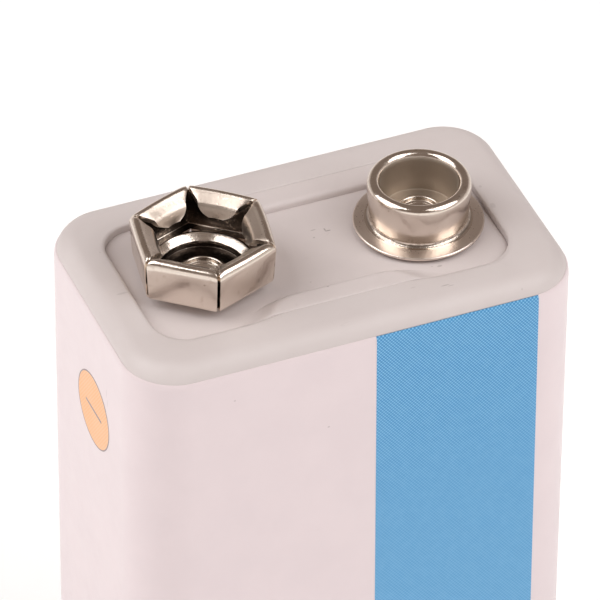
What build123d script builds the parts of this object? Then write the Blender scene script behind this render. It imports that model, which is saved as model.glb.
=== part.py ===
from build123d import *
from math import atan2, cos, degrees, radians, sin, sqrt, tan
import os

# Nine volt block battery: a moulded case with two snap terminals on a sunk plate,
# a printed film round it, and two flat pouch cells with their board inside.
# Origin at the middle of the base, +Z up, millimetres.
# X runs along the long side with the positive stud at +X. The printed front faces -Y.

# Whole battery, measured over the printed film
body_length = 26.0
body_width = 15.7
body_height = 45.2
body_corner = 3.12

# Printed film
film_thickness = 0.12
film_drop = 0.70
film_rise = 0.80
print_depth = 0.04
band_left = 0.61
band_width = 9.52
band_skew = 0.4
disc_radius = 2.33
disc_offset = -0.55
disc_drop = 7.4
outline_width = 0.11
minus_length = 2.34
minus_width = 0.16

# Case
case_wall = 0.8
top_wall = 1.2
rim_rounding = 1.1
post_radius = 0.9
post_inset = 1.9

# Bottom cover
cover_height = 1.6
cover_floor = 1.2
cover_bevel = 0.7
spigot_wall = 0.6
spigot_height = 2.0
spigot_clearance = 0.05

# Terminal plate and its seat in the rim
rim_end = 2.6
rim_side = 2.55
plate_corner = 3.0
plate_thickness = 1.4
plate_clearance = 0.08
plate_shift = 0.04
recess_depth = 0.48
seat_bevel = 0.28
seat_wall = 0.8
ledge_width = 0.8
ledge_thickness = 0.8
shoulder_clearance = 0.22
shoulder_start = 0.15
shoulder_run_in = 2.8
shoulder_overrun = 1.0
shoulder_slope = 0.35
shoulder_drop = 0.07
shoulder_bevel = 0.2

# Terminals: each axis this far from the battery's end, which gives the usual spacing of 12.7
terminal_inset = 6.65
sheet = 0.25
rivet_hole = 0.55
rivet_shank = 0.9
rivet_head = 1.45
rivet_flange = 0.25
rivet_clearance = 0.04

# Positive stud
stud_height = 2.92
stud_head = 2.86
stud_neck = 2.69
stud_bore = 2.2
stud_foot = 3.58
stud_foot_bevel = 0.2
stud_floor = 0.70
stud_band = 0.5
stud_rim_bevel = 0.22
stud_mouth_bevel = 0.14
boss_clearance = 0.05

# Negative hexagonal snap
snap_height = 3.40
snap_apothem = 3.42
snap_turn = 20.5
snap_roll = 0.38
snap_skirt = 0.68
snap_lip = 2.47
snap_lip_drop = 0.34
snap_lip_lean = 0.03
snap_tongue = 0.80
snap_tongue_lean = 0.12
snap_slit = 0.12
snap_slit_root = 3.0
dish_radius = 2.42
dish_drop = 0.36

# Straps and board
strap_thickness = 0.2
strap_width = 3.6
strap_offset = 2.55
strap_foot = 1.3
board_clearance = 0.85
board_corner = 1.0
board_thickness = 0.8
board_drop = 2.12

# Parts on the board: places from its centre, bodies and leads
lead_reach = 0.25
lead_foot = 0.7
lead_thickness = 0.2
chip_chamfer = 0.13
protection_chip_place = (-2.9, 1.6)
protection_chip_body = (2.9, 1.6, 1.1)
protection_chip_pitch = 0.95
switch_chip_place = (2.4, 0.0)
switch_chip_body = (3.0, 4.4, 1.0)
switch_chip_pitch = 0.65
passive_length = 1.6
passive_width = 0.8
passive_bevel = 0.1
resistor_height = 0.45
capacitor_height = 0.8
filter_resistor_place = (-5.6, 3.6)
sense_resistor_place = (-5.6, -2.6)
filter_capacitor_place = (-2.9, 4.2)
output_capacitor_place = (-2.9, -2.6)

# Cells and what packs them
pack_clearance = 1.05
cell_bevel = 0.6
cell_top_bevel = 0.3
terrace_height = 2.6
terrace_thickness = 0.5
terrace_inset = 1.5
tab_width = 3.0
tab_thickness = 0.15
tab_inset = 5.0
tab_foot = 1.6
adhesive_thickness = 0.2
sleeve_thickness = 0.1
sleeve_margin = 2.6
base_foam_thickness = 0.8
insulator_thickness = 0.2
slot_clearance = 0.15
spacer_clearance = 0.3

# Worked out from the sizes above
case_length = body_length - 2 * film_thickness
case_width = body_width - 2 * film_thickness
case_corner = body_corner - film_thickness
room_length = case_length - 2 * case_wall
room_width = case_width - 2 * case_wall
room_corner = case_corner - case_wall
plate_length = body_length - 2 * rim_end
plate_width = body_width - 2 * rim_side
seat_length = plate_length + 2 * plate_clearance
seat_width = plate_width + 2 * plate_clearance
seat_corner = plate_corner + plate_clearance
skirt_length = seat_length + 2 * seat_wall
skirt_width = seat_width + 2 * seat_wall
skirt_corner = seat_corner + seat_wall
opening_length = seat_length - 2 * ledge_width
opening_width = seat_width - 2 * ledge_width
opening_corner = seat_corner - ledge_width
film_top = body_height - film_drop
ceiling = body_height - top_wall
plate_floor = body_height - recess_depth
plate_bottom = plate_floor - plate_thickness
ledge_bottom = plate_bottom - ledge_thickness
stud_x = body_length / 2 - terminal_inset
snap_x = -stud_x
shoulder_waist = stud_foot + shoulder_clearance
shoulder_reach = stud_x - shoulder_start
shoulder_run = shoulder_reach - shoulder_run_in
strap_reach = stud_x + strap_offset
board_length = room_length - 2 * board_clearance
board_width = room_width - 2 * board_clearance
board_top = plate_bottom - board_drop
board_bottom = board_top - board_thickness
cell_bottom = cover_floor + base_foam_thickness
tab_top = board_bottom
terrace_top = tab_top - tab_foot - tab_thickness
cell_top = terrace_top - terrace_height
cell_length = room_length - 2 * pack_clearance
pack_width = room_width - 2 * pack_clearance
cell_thickness = (pack_width - adhesive_thickness) / 2
cell_y = (cell_thickness + adhesive_thickness) / 2
terrace_length = cell_length - 2 * terrace_inset
tab_spacing = cell_length - 2 * tab_inset


# Case shell: walls, rounded rim, and the seat with its ledge
with BuildPart() as case_shell:
    with BuildSketch(Plane.XY.offset(cover_height)):
        RectangleRounded(case_length, case_width, case_corner)
    extrude(amount=body_height - cover_height)
    fillet(case_shell.faces().sort_by(Axis.Z)[-1].edges(), radius=rim_rounding)
    # Room for the cells and the board
    with BuildSketch(Plane.XY.offset(cover_height)):
        RectangleRounded(room_length, room_width, room_corner)
    extrude(amount=ceiling - cover_height, mode=Mode.SUBTRACT)
    # Skirt round the seat
    with BuildSketch(Plane.XY.offset(ledge_bottom)):
        RectangleRounded(skirt_length, skirt_width, skirt_corner)
    extrude(amount=ceiling - ledge_bottom)
    with BuildSketch(Plane.XY.offset(plate_bottom)):
        RectangleRounded(seat_length, seat_width, seat_corner)
    extrude(amount=body_height - plate_bottom, mode=Mode.SUBTRACT)
    with BuildSketch(Plane.XY.offset(ledge_bottom)):
        RectangleRounded(opening_length, opening_width, opening_corner)
    extrude(amount=ledge_thickness, mode=Mode.SUBTRACT)
    chamfer(case_shell.faces().sort_by(Axis.Z)[-1].inner_wires()[0].edges(), length=seat_bevel)
    # Posts that stop the board, one in each corner
    with BuildSketch(Plane.XY.offset(board_top)):
        with GridLocations(room_length - post_inset, room_width - post_inset, 2, 2):
            Circle(post_radius)
    extrude(amount=ceiling - board_top)
case_shell.part.label = "case_shell"


# Bottom cover: rounded tray with a spigot that enters the case
spigot_length = room_length - 2 * spigot_clearance
spigot_width = room_width - 2 * spigot_clearance
spigot_corner = room_corner - spigot_clearance
tray_length = spigot_length - 2 * spigot_wall
tray_width = spigot_width - 2 * spigot_wall
tray_corner = spigot_corner - spigot_wall
with BuildPart() as bottom_cover:
    with BuildSketch():
        RectangleRounded(case_length, case_width, case_corner)
    extrude(amount=cover_height)
    chamfer(bottom_cover.faces().sort_by(Axis.Z)[0].edges(), length=cover_bevel)
    with BuildSketch(Plane.XY.offset(cover_height)):
        RectangleRounded(spigot_length, spigot_width, spigot_corner)
    extrude(amount=spigot_height)
    with BuildSketch(Plane.XY.offset(cover_floor)):
        RectangleRounded(tray_length, tray_width, tray_corner)
    extrude(amount=cover_height + spigot_height - cover_floor, mode=Mode.SUBTRACT)
    chamfer(bottom_cover.faces().sort_by(Axis.Z)[-1].outer_wire().edges(), length=spigot_wall / 2)
bottom_cover.part.label = "bottom_cover"


# Terminal plate: floor, a shoulder along each long side, and the boss inside the stud
shoulder_height = recess_depth - shoulder_drop
with BuildPart() as terminal_plate:
    for side in (-1, 1):
        # Each shoulder starts past the plate's edge, and its S-curves run in to the waist
        outer_y = side * (plate_width / 2 + shoulder_slope) + plate_shift
        waist_y = side * shoulder_waist + plate_shift
        with BuildSketch(Plane.XY.offset(plate_floor)):
            with BuildLine():
                run_in = Spline(
                    (-shoulder_reach - shoulder_overrun, outer_y),
                    (-shoulder_run, waist_y),
                    tangents=[(1, -shoulder_slope * side), (1, 0)],
                )
                middle = Line(run_in @ 1, (shoulder_run, waist_y))
                run_out = Spline(
                    middle @ 1,
                    (shoulder_reach + shoulder_overrun, outer_y),
                    tangents=[(1, 0), (1, shoulder_slope * side)],
                )
                Line(run_out @ 1, run_in @ 0)
            make_face()
        extrude(amount=shoulder_height)
    edge_limit = (plate_width + shoulder_slope) / 2
    shoulder_edges = (
        terminal_plate.edges()
        .group_by(Axis.Z)[-1]
        .filter_by(lambda edge: abs(edge.center().Y - plate_shift) < edge_limit)
    )
    chamfer(shoulder_edges, length=shoulder_bevel)
    with BuildSketch(Plane.XY.offset(plate_floor)):
        with Locations((0, plate_shift)):
            RectangleRounded(plate_length, plate_width, plate_corner)
    extrude(amount=recess_depth, mode=Mode.INTERSECT)
    with BuildSketch(Plane.XY.offset(plate_bottom)):
        with Locations((0, plate_shift)):
            RectangleRounded(plate_length, plate_width, plate_corner)
    extrude(amount=plate_thickness)
    with BuildSketch(Plane.XY.offset(plate_floor)):
        with Locations((stud_x, 0)):
            Circle(stud_bore - boss_clearance)
    extrude(amount=stud_floor - sheet)
    with Locations((stud_x, 0, plate_bottom), (snap_x, 0, plate_bottom)):
        Cylinder(
            rivet_shank + rivet_clearance,
            plate_thickness + stud_floor,
            align=(Align.CENTER, Align.CENTER, Align.MIN),
            mode=Mode.SUBTRACT,
        )
terminal_plate.part.label = "terminal_plate"


# Positive stud: foot flange, waisted barrel, rolled rim and a floor for the rivet
stud_plane = Plane(origin=(stud_x, 0, plate_floor), x_dir=(1, 0, 0), z_dir=(0, -1, 0))
band_top = stud_height - stud_rim_bevel
with BuildPart() as positive_stud:
    with BuildSketch(stud_plane):
        with BuildLine():
            flange = Polyline(
                (stud_bore, 0),
                (stud_foot, 0),
                (stud_foot, sheet / 2),
                (stud_foot - sheet / 2, sheet),
                (stud_neck + stud_foot_bevel, sheet),
            )
            foot_curve = Line(flange @ 1, (stud_neck, sheet + stud_foot_bevel))
            barrel = Line(foot_curve @ 1, (stud_neck, (stud_height - stud_band) / 2))
            swell = Spline(barrel @ 1, (stud_head, band_top - stud_band), tangents=[(0, 1), (0, 1)])
            band = Line(swell @ 1, (stud_head, band_top))
            rim = Polyline(
                band @ 1,
                (stud_head - stud_rim_bevel, stud_height),
                (stud_bore + stud_mouth_bevel, stud_height),
                (stud_bore, stud_height - stud_mouth_bevel),
            )
            bore = Line(rim @ 1, (stud_bore, stud_floor))
            floor_top = Line(bore @ 1, (rivet_shank + rivet_clearance, stud_floor))
            floor_hole = Line(floor_top @ 1, (rivet_shank + rivet_clearance, stud_floor - sheet))
            floor_under = Line(floor_hole @ 1, (stud_bore, stud_floor - sheet))
            Line(floor_under @ 1, flange @ 0)
        make_face()
    revolve(axis=Axis((stud_x, 0, plate_floor), (0, 0, 1)))
positive_stud.part.label = "positive_stud"


# Negative snap: a drawn dish whose rim carries six arms, bent up, rolled over and turned in
petal_count = 6
petal_angle = 360 / petal_count
petal_reach = 2 * snap_apothem
roll_inner = snap_roll - sheet
roll_x = snap_apothem - snap_roll
roll_z = snap_height - snap_roll
wall_inner = snap_apothem - sheet
dish_top = snap_skirt + sheet
dish_low = dish_top - dish_drop
root_x = snap_slit_root - sheet
lip_z = snap_height - snap_lip_drop
tongue_end_z = lip_z - snap_tongue
half_petal = tan(radians(petal_angle / 2))
leaf_fall = atan2(snap_lip_drop - sheet / 2, roll_x - snap_lip)
leaf_turn = 90 + degrees(leaf_fall)
leaf_end = (snap_lip, lip_z)
lip_low_x = snap_lip + snap_lip_lean
tongue_end_x = snap_lip + snap_tongue_lean
with BuildPart() as snap_petal:
    # Section of one arm, from the rim of the dish to the free end of its tongue
    with BuildSketch(Plane.XZ):
        with BuildLine():
            root = Line((root_x, snap_skirt), (roll_x, snap_skirt))
            bend = TangentArc(root @ 1, (snap_apothem, snap_skirt + snap_roll), tangent=(1, 0))
            Line(bend @ 1, (snap_apothem, roll_z))
            over = CenterArc((roll_x, roll_z), snap_roll, 0, leaf_turn)
            leaf = Line(over @ 1, leaf_end)
            lip = Line(leaf @ 1, (lip_low_x, lip_z - sheet))
            tongue_in = Line(lip @ 1, (tongue_end_x, tongue_end_z))
            tongue_end = Line(tongue_in @ 1, (tongue_end_x + sheet, tongue_end_z))
            tongue_out = Line(tongue_end @ 1, (lip_low_x + sheet, lip_z - sheet))
            inner_roll = CenterArc((roll_x, roll_z), roll_inner, leaf_turn, -leaf_turn)
            Line(tongue_out @ 1, inner_roll @ 0)
            inside = Line(inner_roll @ 1, (wall_inner, dish_top + roll_inner))
            inner_bend = Line(inside @ 1, (roll_x, dish_top))
            root_top = Line(inner_bend @ 1, (root_x, dish_top))
            Line(root_top @ 1, root @ 0)
        make_face()
    extrude(amount=snap_apothem, both=True)
    # Its sides, half a slit inside the corners of the hexagon
    with BuildSketch():
        with BuildLine():
            Polyline(
                (snap_slit, 0),
                (snap_slit + petal_reach, petal_reach * half_petal),
                (snap_slit + petal_reach, -petal_reach * half_petal),
                close=True,
            )
        make_face()
    extrude(amount=snap_height, mode=Mode.INTERSECT)
    # Round end of the tongue
    with BuildSketch(Plane.YZ.offset(snap_lip - sheet)):
        with Locations((0, lip_z - sheet)):
            Rectangle(petal_reach, 2 * snap_tongue, align=(Align.CENTER, Align.MAX))
            Ellipse(snap_lip * half_petal, snap_tongue, mode=Mode.SUBTRACT)
    extrude(amount=roll_x - snap_lip, mode=Mode.SUBTRACT)

snap_plane = Plane(origin=(snap_x, 0, plate_floor), x_dir=(1, 0, 0), z_dir=(0, -1, 0))
with BuildPart() as negative_snap:
    with BuildSketch(snap_plane):
        with BuildLine():
            base_under = Line((rivet_shank + rivet_clearance, 0), (dish_radius + sheet, 0))
            cup_outside = Line(base_under @ 1, (dish_radius + sheet, dish_low - sheet / 2))
            rim_under = Line(cup_outside @ 1, (snap_slit_root, snap_skirt))
            rim_edge = Line(rim_under @ 1, (snap_slit_root, dish_top))
            rim_top = Line(rim_edge @ 1, (root_x + sheet / 2, dish_top))
            rim_round = Polyline(
                rim_top @ 1, (dish_radius + sheet / 3, dish_low + sheet), (dish_radius, dish_low)
            )
            cup_inside = Line(rim_round @ 1, (dish_radius, sheet))
            base_top = Line(cup_inside @ 1, (rivet_shank + rivet_clearance, sheet))
            Line(base_top @ 1, base_under @ 0)
        make_face()
    revolve(axis=Axis((snap_x, 0, plate_floor), (0, 0, 1)))
    with Locations((snap_x, 0, plate_floor)):
        with PolarLocations(0, petal_count, start_angle=snap_turn + petal_angle / 2):
            add(snap_petal.part)
negative_snap.part.label = "negative_snap"


# Hollow rivets: each holds its terminal, the plate and a strap together
strap_bottom = plate_bottom - strap_thickness
rivets = []
for rivet_name, rivet_x, rivet_seat in (
    ("negative_rivet", snap_x, plate_floor + sheet),
    ("positive_rivet", stud_x, plate_floor + stud_floor),
):
    rivet_plane = Plane(origin=(rivet_x, 0, 0), x_dir=(1, 0, 0), z_dir=(0, -1, 0))
    with BuildPart() as rivet:
        with BuildSketch(rivet_plane):
            with BuildLine():
                Polyline(
                    (rivet_shank, rivet_seat),
                    (rivet_head, rivet_seat),
                    (rivet_head, rivet_seat + rivet_flange / 2),
                    (rivet_head - rivet_flange / 2, rivet_seat + rivet_flange),
                    (rivet_hole + rivet_flange, rivet_seat + rivet_flange),
                    (rivet_hole, rivet_seat),
                    (rivet_hole, strap_bottom - rivet_flange),
                    (rivet_head, strap_bottom - rivet_flange),
                    (rivet_head, strap_bottom),
                    (rivet_shank, strap_bottom),
                    close=True,
                )
            make_face()
        revolve(axis=Axis((rivet_x, 0, 0), (0, 0, 1)))
    rivet.part.label = rivet_name
    rivets.append(rivet)


# Nickel straps from the rivets down to the board
straps = []
for strap_name, side in (("negative_strap", -1), ("positive_strap", 1)):
    run_x = side * (strap_reach - strap_thickness / 2)
    with BuildPart() as strap:
        with BuildSketch(Plane.XZ):
            with BuildLine():
                FilletPolyline(
                    (side * (stud_x - strap_width / 2), plate_bottom - strap_thickness / 2),
                    (run_x, plate_bottom - strap_thickness / 2),
                    (run_x, board_top + strap_thickness / 2),
                    (run_x - side * strap_foot, board_top + strap_thickness / 2),
                    radius=strap_thickness,
                )
            trace(line_width=strap_thickness)
        extrude(amount=strap_width / 2, both=True)
        with Locations((side * stud_x, 0, strap_bottom)):
            Cylinder(rivet_shank + rivet_clearance, 3 * strap_thickness, mode=Mode.SUBTRACT)
    strap.part.label = strap_name
    straps.append(strap)


# Protection board
with BuildPart() as protection_board:
    with BuildSketch(Plane.XY.offset(board_bottom)):
        outline = Rectangle(board_length, board_width)
        chamfer(outline.vertices(), length=board_corner)
    extrude(amount=board_thickness)
protection_board.part.label = "protection_board"


# Leaded chips on the board
chips = []
for chip_name, place, body, lead_count, lead_pitch in (
    ("protection_chip", protection_chip_place, protection_chip_body, 3, protection_chip_pitch),
    ("switch_chip", switch_chip_place, switch_chip_body, 4, switch_chip_pitch),
):
    chip_length, chip_width, chip_height = body
    with BuildPart(Plane.XY.offset(board_top)) as chip:
        with Locations(place):
            Box(chip_length, chip_width, chip_height, align=(Align.CENTER, Align.CENTER, Align.MIN))
        chamfer(chip.faces().sort_by(Axis.Z)[-1].edges(), length=chip_chamfer)
        with Locations(place):
            with GridLocations(lead_pitch, chip_width + 2 * lead_reach, lead_count, 2):
                Box(
                    lead_pitch / 2,
                    lead_foot,
                    lead_thickness,
                    align=(Align.CENTER, Align.CENTER, Align.MIN),
                )
    chip.part.label = chip_name
    chips.append(chip)


# Chip resistors and capacitors
passives = []
for passive_name, place, height in (
    ("filter_resistor", filter_resistor_place, resistor_height),
    ("sense_resistor", sense_resistor_place, resistor_height),
    ("filter_capacitor", filter_capacitor_place, capacitor_height),
    ("output_capacitor", output_capacitor_place, capacitor_height),
):
    with BuildPart(Plane.XY.offset(board_top)) as passive:
        with Locations(place):
            Box(passive_length, passive_width, height, align=(Align.CENTER, Align.CENTER, Align.MIN))
        chamfer(passive.edges().filter_by(Axis.Y), length=passive_bevel)
    passive.part.label = passive_name
    passives.append(passive)


# Sealed pouch cells, each with the sealed terrace that its tabs leave from
cells = []
for cell_name, side in (("front_cell", -1), ("rear_cell", 1)):
    with BuildPart() as cell:
        with BuildSketch(Plane.XY.offset(cell_bottom)):
            with Locations((0, side * cell_y)):
                pouch = Rectangle(cell_length, cell_thickness)
            chamfer(pouch.vertices(), length=cell_bevel)
        extrude(amount=cell_top - cell_bottom)
        chamfer(cell.faces().sort_by(Axis.Z)[-1].edges(), length=cell_top_bevel)
        with BuildSketch(Plane.XY.offset(cell_top)):
            with Locations((0, side * cell_y)):
                Rectangle(terrace_length, terrace_thickness)
        extrude(amount=terrace_height)
    cell.part.label = cell_name
    cells.append(cell)


# Cell tabs, bent over under the board
tabs = []
for tab_name, side, end in (
    ("front_cell_left_tab", -1, -1),
    ("front_cell_right_tab", -1, 1),
    ("rear_cell_left_tab", 1, -1),
    ("rear_cell_right_tab", 1, 1),
):
    with BuildPart() as tab:
        with BuildSketch(Plane.YZ.offset(end * tab_spacing / 2)):
            with BuildLine():
                FilletPolyline(
                    (side * cell_y, terrace_top),
                    (side * cell_y, board_bottom - tab_thickness / 2),
                    (side * (cell_y - tab_foot), board_bottom - tab_thickness / 2),
                    radius=tab_thickness,
                )
            trace(line_width=tab_thickness)
        extrude(amount=tab_width / 2, both=True)
    tab.part.label = tab_name
    tabs.append(tab)


# Strip that joins the two right tabs, so that the cells are in series
with BuildPart() as series_link:
    with Locations((tab_spacing / 2, 0, board_bottom - tab_thickness)):
        Box(
            tab_width,
            2 * cell_y - 4 * tab_thickness,
            tab_thickness,
            align=(Align.CENTER, Align.CENTER, Align.MAX),
        )
series_link.part.label = "series_link"


# Adhesive tape between the pouches, as tall as the sleeve round them
sleeve_bottom = cell_bottom + sleeve_margin
sleeve_height = cell_top - cell_bottom - 2 * sleeve_margin
with BuildPart() as cell_adhesive:
    with BuildSketch(Plane.XY.offset(sleeve_bottom)):
        Rectangle(terrace_length, adhesive_thickness)
    extrude(amount=sleeve_height)
cell_adhesive.part.label = "cell_adhesive"


# Insulating paper over the pouches, slotted for the terraces
with BuildPart() as cell_top_insulator:
    with BuildSketch(Plane.XY.offset(cell_top)):
        Rectangle(cell_length, pack_width)
        with GridLocations(0, 2 * cell_y, 1, 2):
            Rectangle(
                terrace_length + 2 * slot_clearance,
                terrace_thickness + 2 * slot_clearance,
                mode=Mode.SUBTRACT,
            )
    extrude(amount=insulator_thickness)
cell_top_insulator.part.label = "cell_top_insulator"


# Foam block between the paper and the board
spacer_bottom = cell_top + insulator_thickness
spacer_width = 2 * cell_y - terrace_thickness - 2 * spacer_clearance
spacer_length = tab_spacing - tab_width - 2 * spacer_clearance
with BuildPart() as spacer_foam:
    with BuildSketch(Plane.XY.offset(spacer_bottom)):
        Rectangle(spacer_length, spacer_width)
    extrude(amount=board_bottom - spacer_bottom)
spacer_foam.part.label = "spacer_foam"


# Foam pad under the pouches
with BuildPart() as base_foam:
    with BuildSketch(Plane.XY.offset(cover_floor)):
        pad = Rectangle(cell_length, pack_width)
        chamfer(pad.vertices(), length=cell_bevel)
    extrude(amount=base_foam_thickness)
base_foam.part.label = "base_foam"


# Film sleeve round both pouches
sleeve_bevel = cell_bevel + sleeve_thickness * (2 - sqrt(2))
with BuildPart() as pack_sleeve:
    with BuildSketch(Plane.XY.offset(sleeve_bottom)):
        outside = Rectangle(cell_length + 2 * sleeve_thickness, pack_width + 2 * sleeve_thickness)
        chamfer(outside.vertices(), length=sleeve_bevel)
    extrude(amount=sleeve_height)
    with BuildSketch(Plane.XY.offset(sleeve_bottom)):
        inside = Rectangle(cell_length, pack_width)
        chamfer(inside.vertices(), length=cell_bevel)
    extrude(amount=sleeve_height, mode=Mode.SUBTRACT)
pack_sleeve.part.label = "pack_sleeve"


# Printed fields on the film, each a skin that follows the film's outer face
film_height = film_top - film_rise
band_shift = film_height * tan(radians(band_skew))
with BuildPart() as label_blue_band:
    with BuildSketch(Plane.XY.offset(film_rise)):
        RectangleRounded(body_length, body_width, body_corner)
        RectangleRounded(
            body_length - 2 * print_depth,
            body_width - 2 * print_depth,
            body_corner - print_depth,
            mode=Mode.SUBTRACT,
        )
    extrude(amount=film_height)
    with BuildSketch(Plane.XZ.offset(body_width / 2)):
        with BuildLine():
            Polyline(
                (band_left, film_top),
                (band_left + band_width, film_top),
                (band_left + band_width + band_shift, film_rise),
                (band_left + band_shift, film_rise),
                close=True,
            )
        make_face()
    extrude(amount=-body_corner, mode=Mode.INTERSECT)
label_blue_band.part.label = "label_blue_band"

disc_plane = Plane.YZ.offset(-body_length / 2)
disc_centre = (disc_offset, body_height - disc_drop)
with BuildPart() as label_polarity_disc:
    with BuildSketch(disc_plane):
        with Locations(disc_centre):
            Circle(disc_radius - outline_width)
            Rectangle(minus_length, minus_width, mode=Mode.SUBTRACT)
    extrude(amount=print_depth)
label_polarity_disc.part.label = "label_polarity_disc"

with BuildPart() as label_polarity_sign:
    with BuildSketch(disc_plane):
        with Locations(disc_centre):
            Circle(disc_radius)
            Circle(disc_radius - outline_width, mode=Mode.SUBTRACT)
            Rectangle(minus_length, minus_width)
    extrude(amount=print_depth)
label_polarity_sign.part.label = "label_polarity_sign"

with BuildPart() as label_wrap:
    with BuildSketch(Plane.XY.offset(film_rise)):
        RectangleRounded(body_length, body_width, body_corner)
        RectangleRounded(case_length, case_width, case_corner, mode=Mode.SUBTRACT)
    extrude(amount=film_height)
    add(label_blue_band.part, mode=Mode.SUBTRACT)
    with BuildSketch(disc_plane):
        with Locations(disc_centre):
            Circle(disc_radius)
    extrude(amount=print_depth, mode=Mode.SUBTRACT)
label_wrap.part.label = "label_wrap"


pieces = [
    case_shell,
    bottom_cover,
    terminal_plate,
    positive_stud,
    negative_snap,
    *rivets,
    *straps,
    protection_board,
    *chips,
    *passives,
    *cells,
    *tabs,
    series_link,
    cell_adhesive,
    cell_top_insulator,
    spacer_foam,
    base_foam,
    pack_sleeve,
    label_wrap,
    label_blue_band,
    label_polarity_disc,
    label_polarity_sign,
]
os.makedirs("parts", exist_ok=True)
for piece in pieces:
    export_step(piece.part, f"parts/{piece.part.label}.step")
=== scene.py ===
import logging
import math
from dataclasses import dataclass, field, replace
from enum import Enum
from functools import cache
from typing import Callable, Sequence

import bpy
import numpy as np
from mathutils import Matrix, Vector


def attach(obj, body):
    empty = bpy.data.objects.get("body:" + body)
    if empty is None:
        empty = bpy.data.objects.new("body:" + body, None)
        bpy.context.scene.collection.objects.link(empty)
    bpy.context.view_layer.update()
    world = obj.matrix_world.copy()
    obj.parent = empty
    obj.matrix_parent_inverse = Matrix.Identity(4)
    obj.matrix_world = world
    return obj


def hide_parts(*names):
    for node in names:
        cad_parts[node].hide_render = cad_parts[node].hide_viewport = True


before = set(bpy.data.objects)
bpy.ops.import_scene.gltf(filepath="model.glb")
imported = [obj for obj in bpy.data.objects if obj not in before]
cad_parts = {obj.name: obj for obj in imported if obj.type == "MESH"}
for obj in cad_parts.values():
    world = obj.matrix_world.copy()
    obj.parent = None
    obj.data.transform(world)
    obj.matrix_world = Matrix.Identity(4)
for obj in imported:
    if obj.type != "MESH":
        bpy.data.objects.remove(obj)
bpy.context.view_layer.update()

log = logging.getLogger("nine_volt_battery")
MM = 0.001
QUARTER = math.pi / 2
Colour = tuple[float, float, float]
Triple = tuple[float, float, float]
Socket = bpy.types.NodeSocket


# Sizes and paths


@dataclass(frozen=True)
class Sizes:
    """Sizes that several pieces share, in millimetres from the middle of the base, and one angle."""

    half_length: float = 13.0
    half_width: float = 7.85
    height: float = 45.2
    corner: float = 3.12
    film: float = 0.12
    film_low: float = 0.80
    film_high: float = 44.32
    plate_floor: float = 44.72
    plate_bottom: float = 43.32
    plate_shift: float = 0.18
    plate_slide: float = -0.20
    terminal_x: float = 6.35
    hexagon_turn: float = 50.5
    sheet: float = 0.25
    rivet_clear: float = 0.94


SIZES = Sizes()


@dataclass(frozen=True)
class RoundedRectangle:
    """Outline with straight sides and round corners, in millimetres."""

    half_x: float
    half_y: float
    radius: float
    centre_y: float = 0.0
    centre_x: float = 0.0

    def normals(self, steps: int = 22, between: int = 0) -> np.ndarray:
        """Outward normals at the points that ring() gives.

        Args:
            steps: Points in each corner, over which the normal turns through a quarter.
            between: Points on each straight side, which have the normal of the side's start.

        Returns:
            Array of shape (4 * (steps + between), 2).
        """
        turn = np.arange(4)[:, None] * QUARTER + np.linspace(0.0, QUARTER, steps)
        turn = np.concatenate([turn, np.repeat(turn[:, -1:], between, axis=1)], axis=1).ravel()
        return np.column_stack([np.cos(turn), np.sin(turn)])

    def ring(self, z: float, steps: int = 22, between: int = 0) -> np.ndarray:
        """Samples the outline once round at one height.

        A point is its corner's centre plus the radius times the normal. The straight sides
        join one corner to the next, with evenly spaced points between them where asked.

        Args:
            z: Height of the ring.
            steps: Points in each corner.
            between: Points on each straight side, its ends not counted.

        Returns:
            Array of shape (4 * (steps + between), 3).
        """
        side = np.array([(1.0, 1.0), (-1.0, 1.0), (-1.0, -1.0), (1.0, -1.0)])[:, None]
        straight = np.array([self.half_x - self.radius, self.half_y - self.radius])
        corners = side * straight + self.radius * self.normals(steps).reshape(4, steps, 2)
        corners = corners + np.array([self.centre_x, self.centre_y])
        share = np.linspace(0.0, 1.0, between + 2)[1:-1, None]
        sides = corners[:, -1:] * (1.0 - share) + np.roll(corners, -1, axis=0)[:, :1] * share
        points = np.concatenate([corners, sides], axis=1).reshape(-1, 2)
        return np.column_stack([points, np.full(len(points), z)])

    def inset(self, distance: float) -> "RoundedRectangle":
        """Moves the outline inwards."""
        half_x, half_y, radius = (size - distance for size in (self.half_x, self.half_y, self.radius))
        return RoundedRectangle(half_x, half_y, radius, self.centre_y, self.centre_x)

    def depth(self, x: np.ndarray, y: np.ndarray) -> np.ndarray:
        """Distance from each place to the outline, positive inside.

        Args:
            x: Places along the length.
            y: Places across the width.

        Returns:
            Array of the same shape.
        """
        out_x = np.abs(x - self.centre_x) - (self.half_x - self.radius)
        out_y = np.abs(y - self.centre_y) - (self.half_y - self.radius)
        outside = np.hypot(np.maximum(out_x, 0.0), np.maximum(out_y, 0.0))
        return self.radius - outside - np.minimum(np.maximum(out_x, out_y), 0.0)


def circle(radius: float, centre_x: float, centre_y: float = 0.0) -> RoundedRectangle:
    """A rounded rectangle that is all corners."""
    return RoundedRectangle(radius, radius, radius, centre_y, centre_x)


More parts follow.
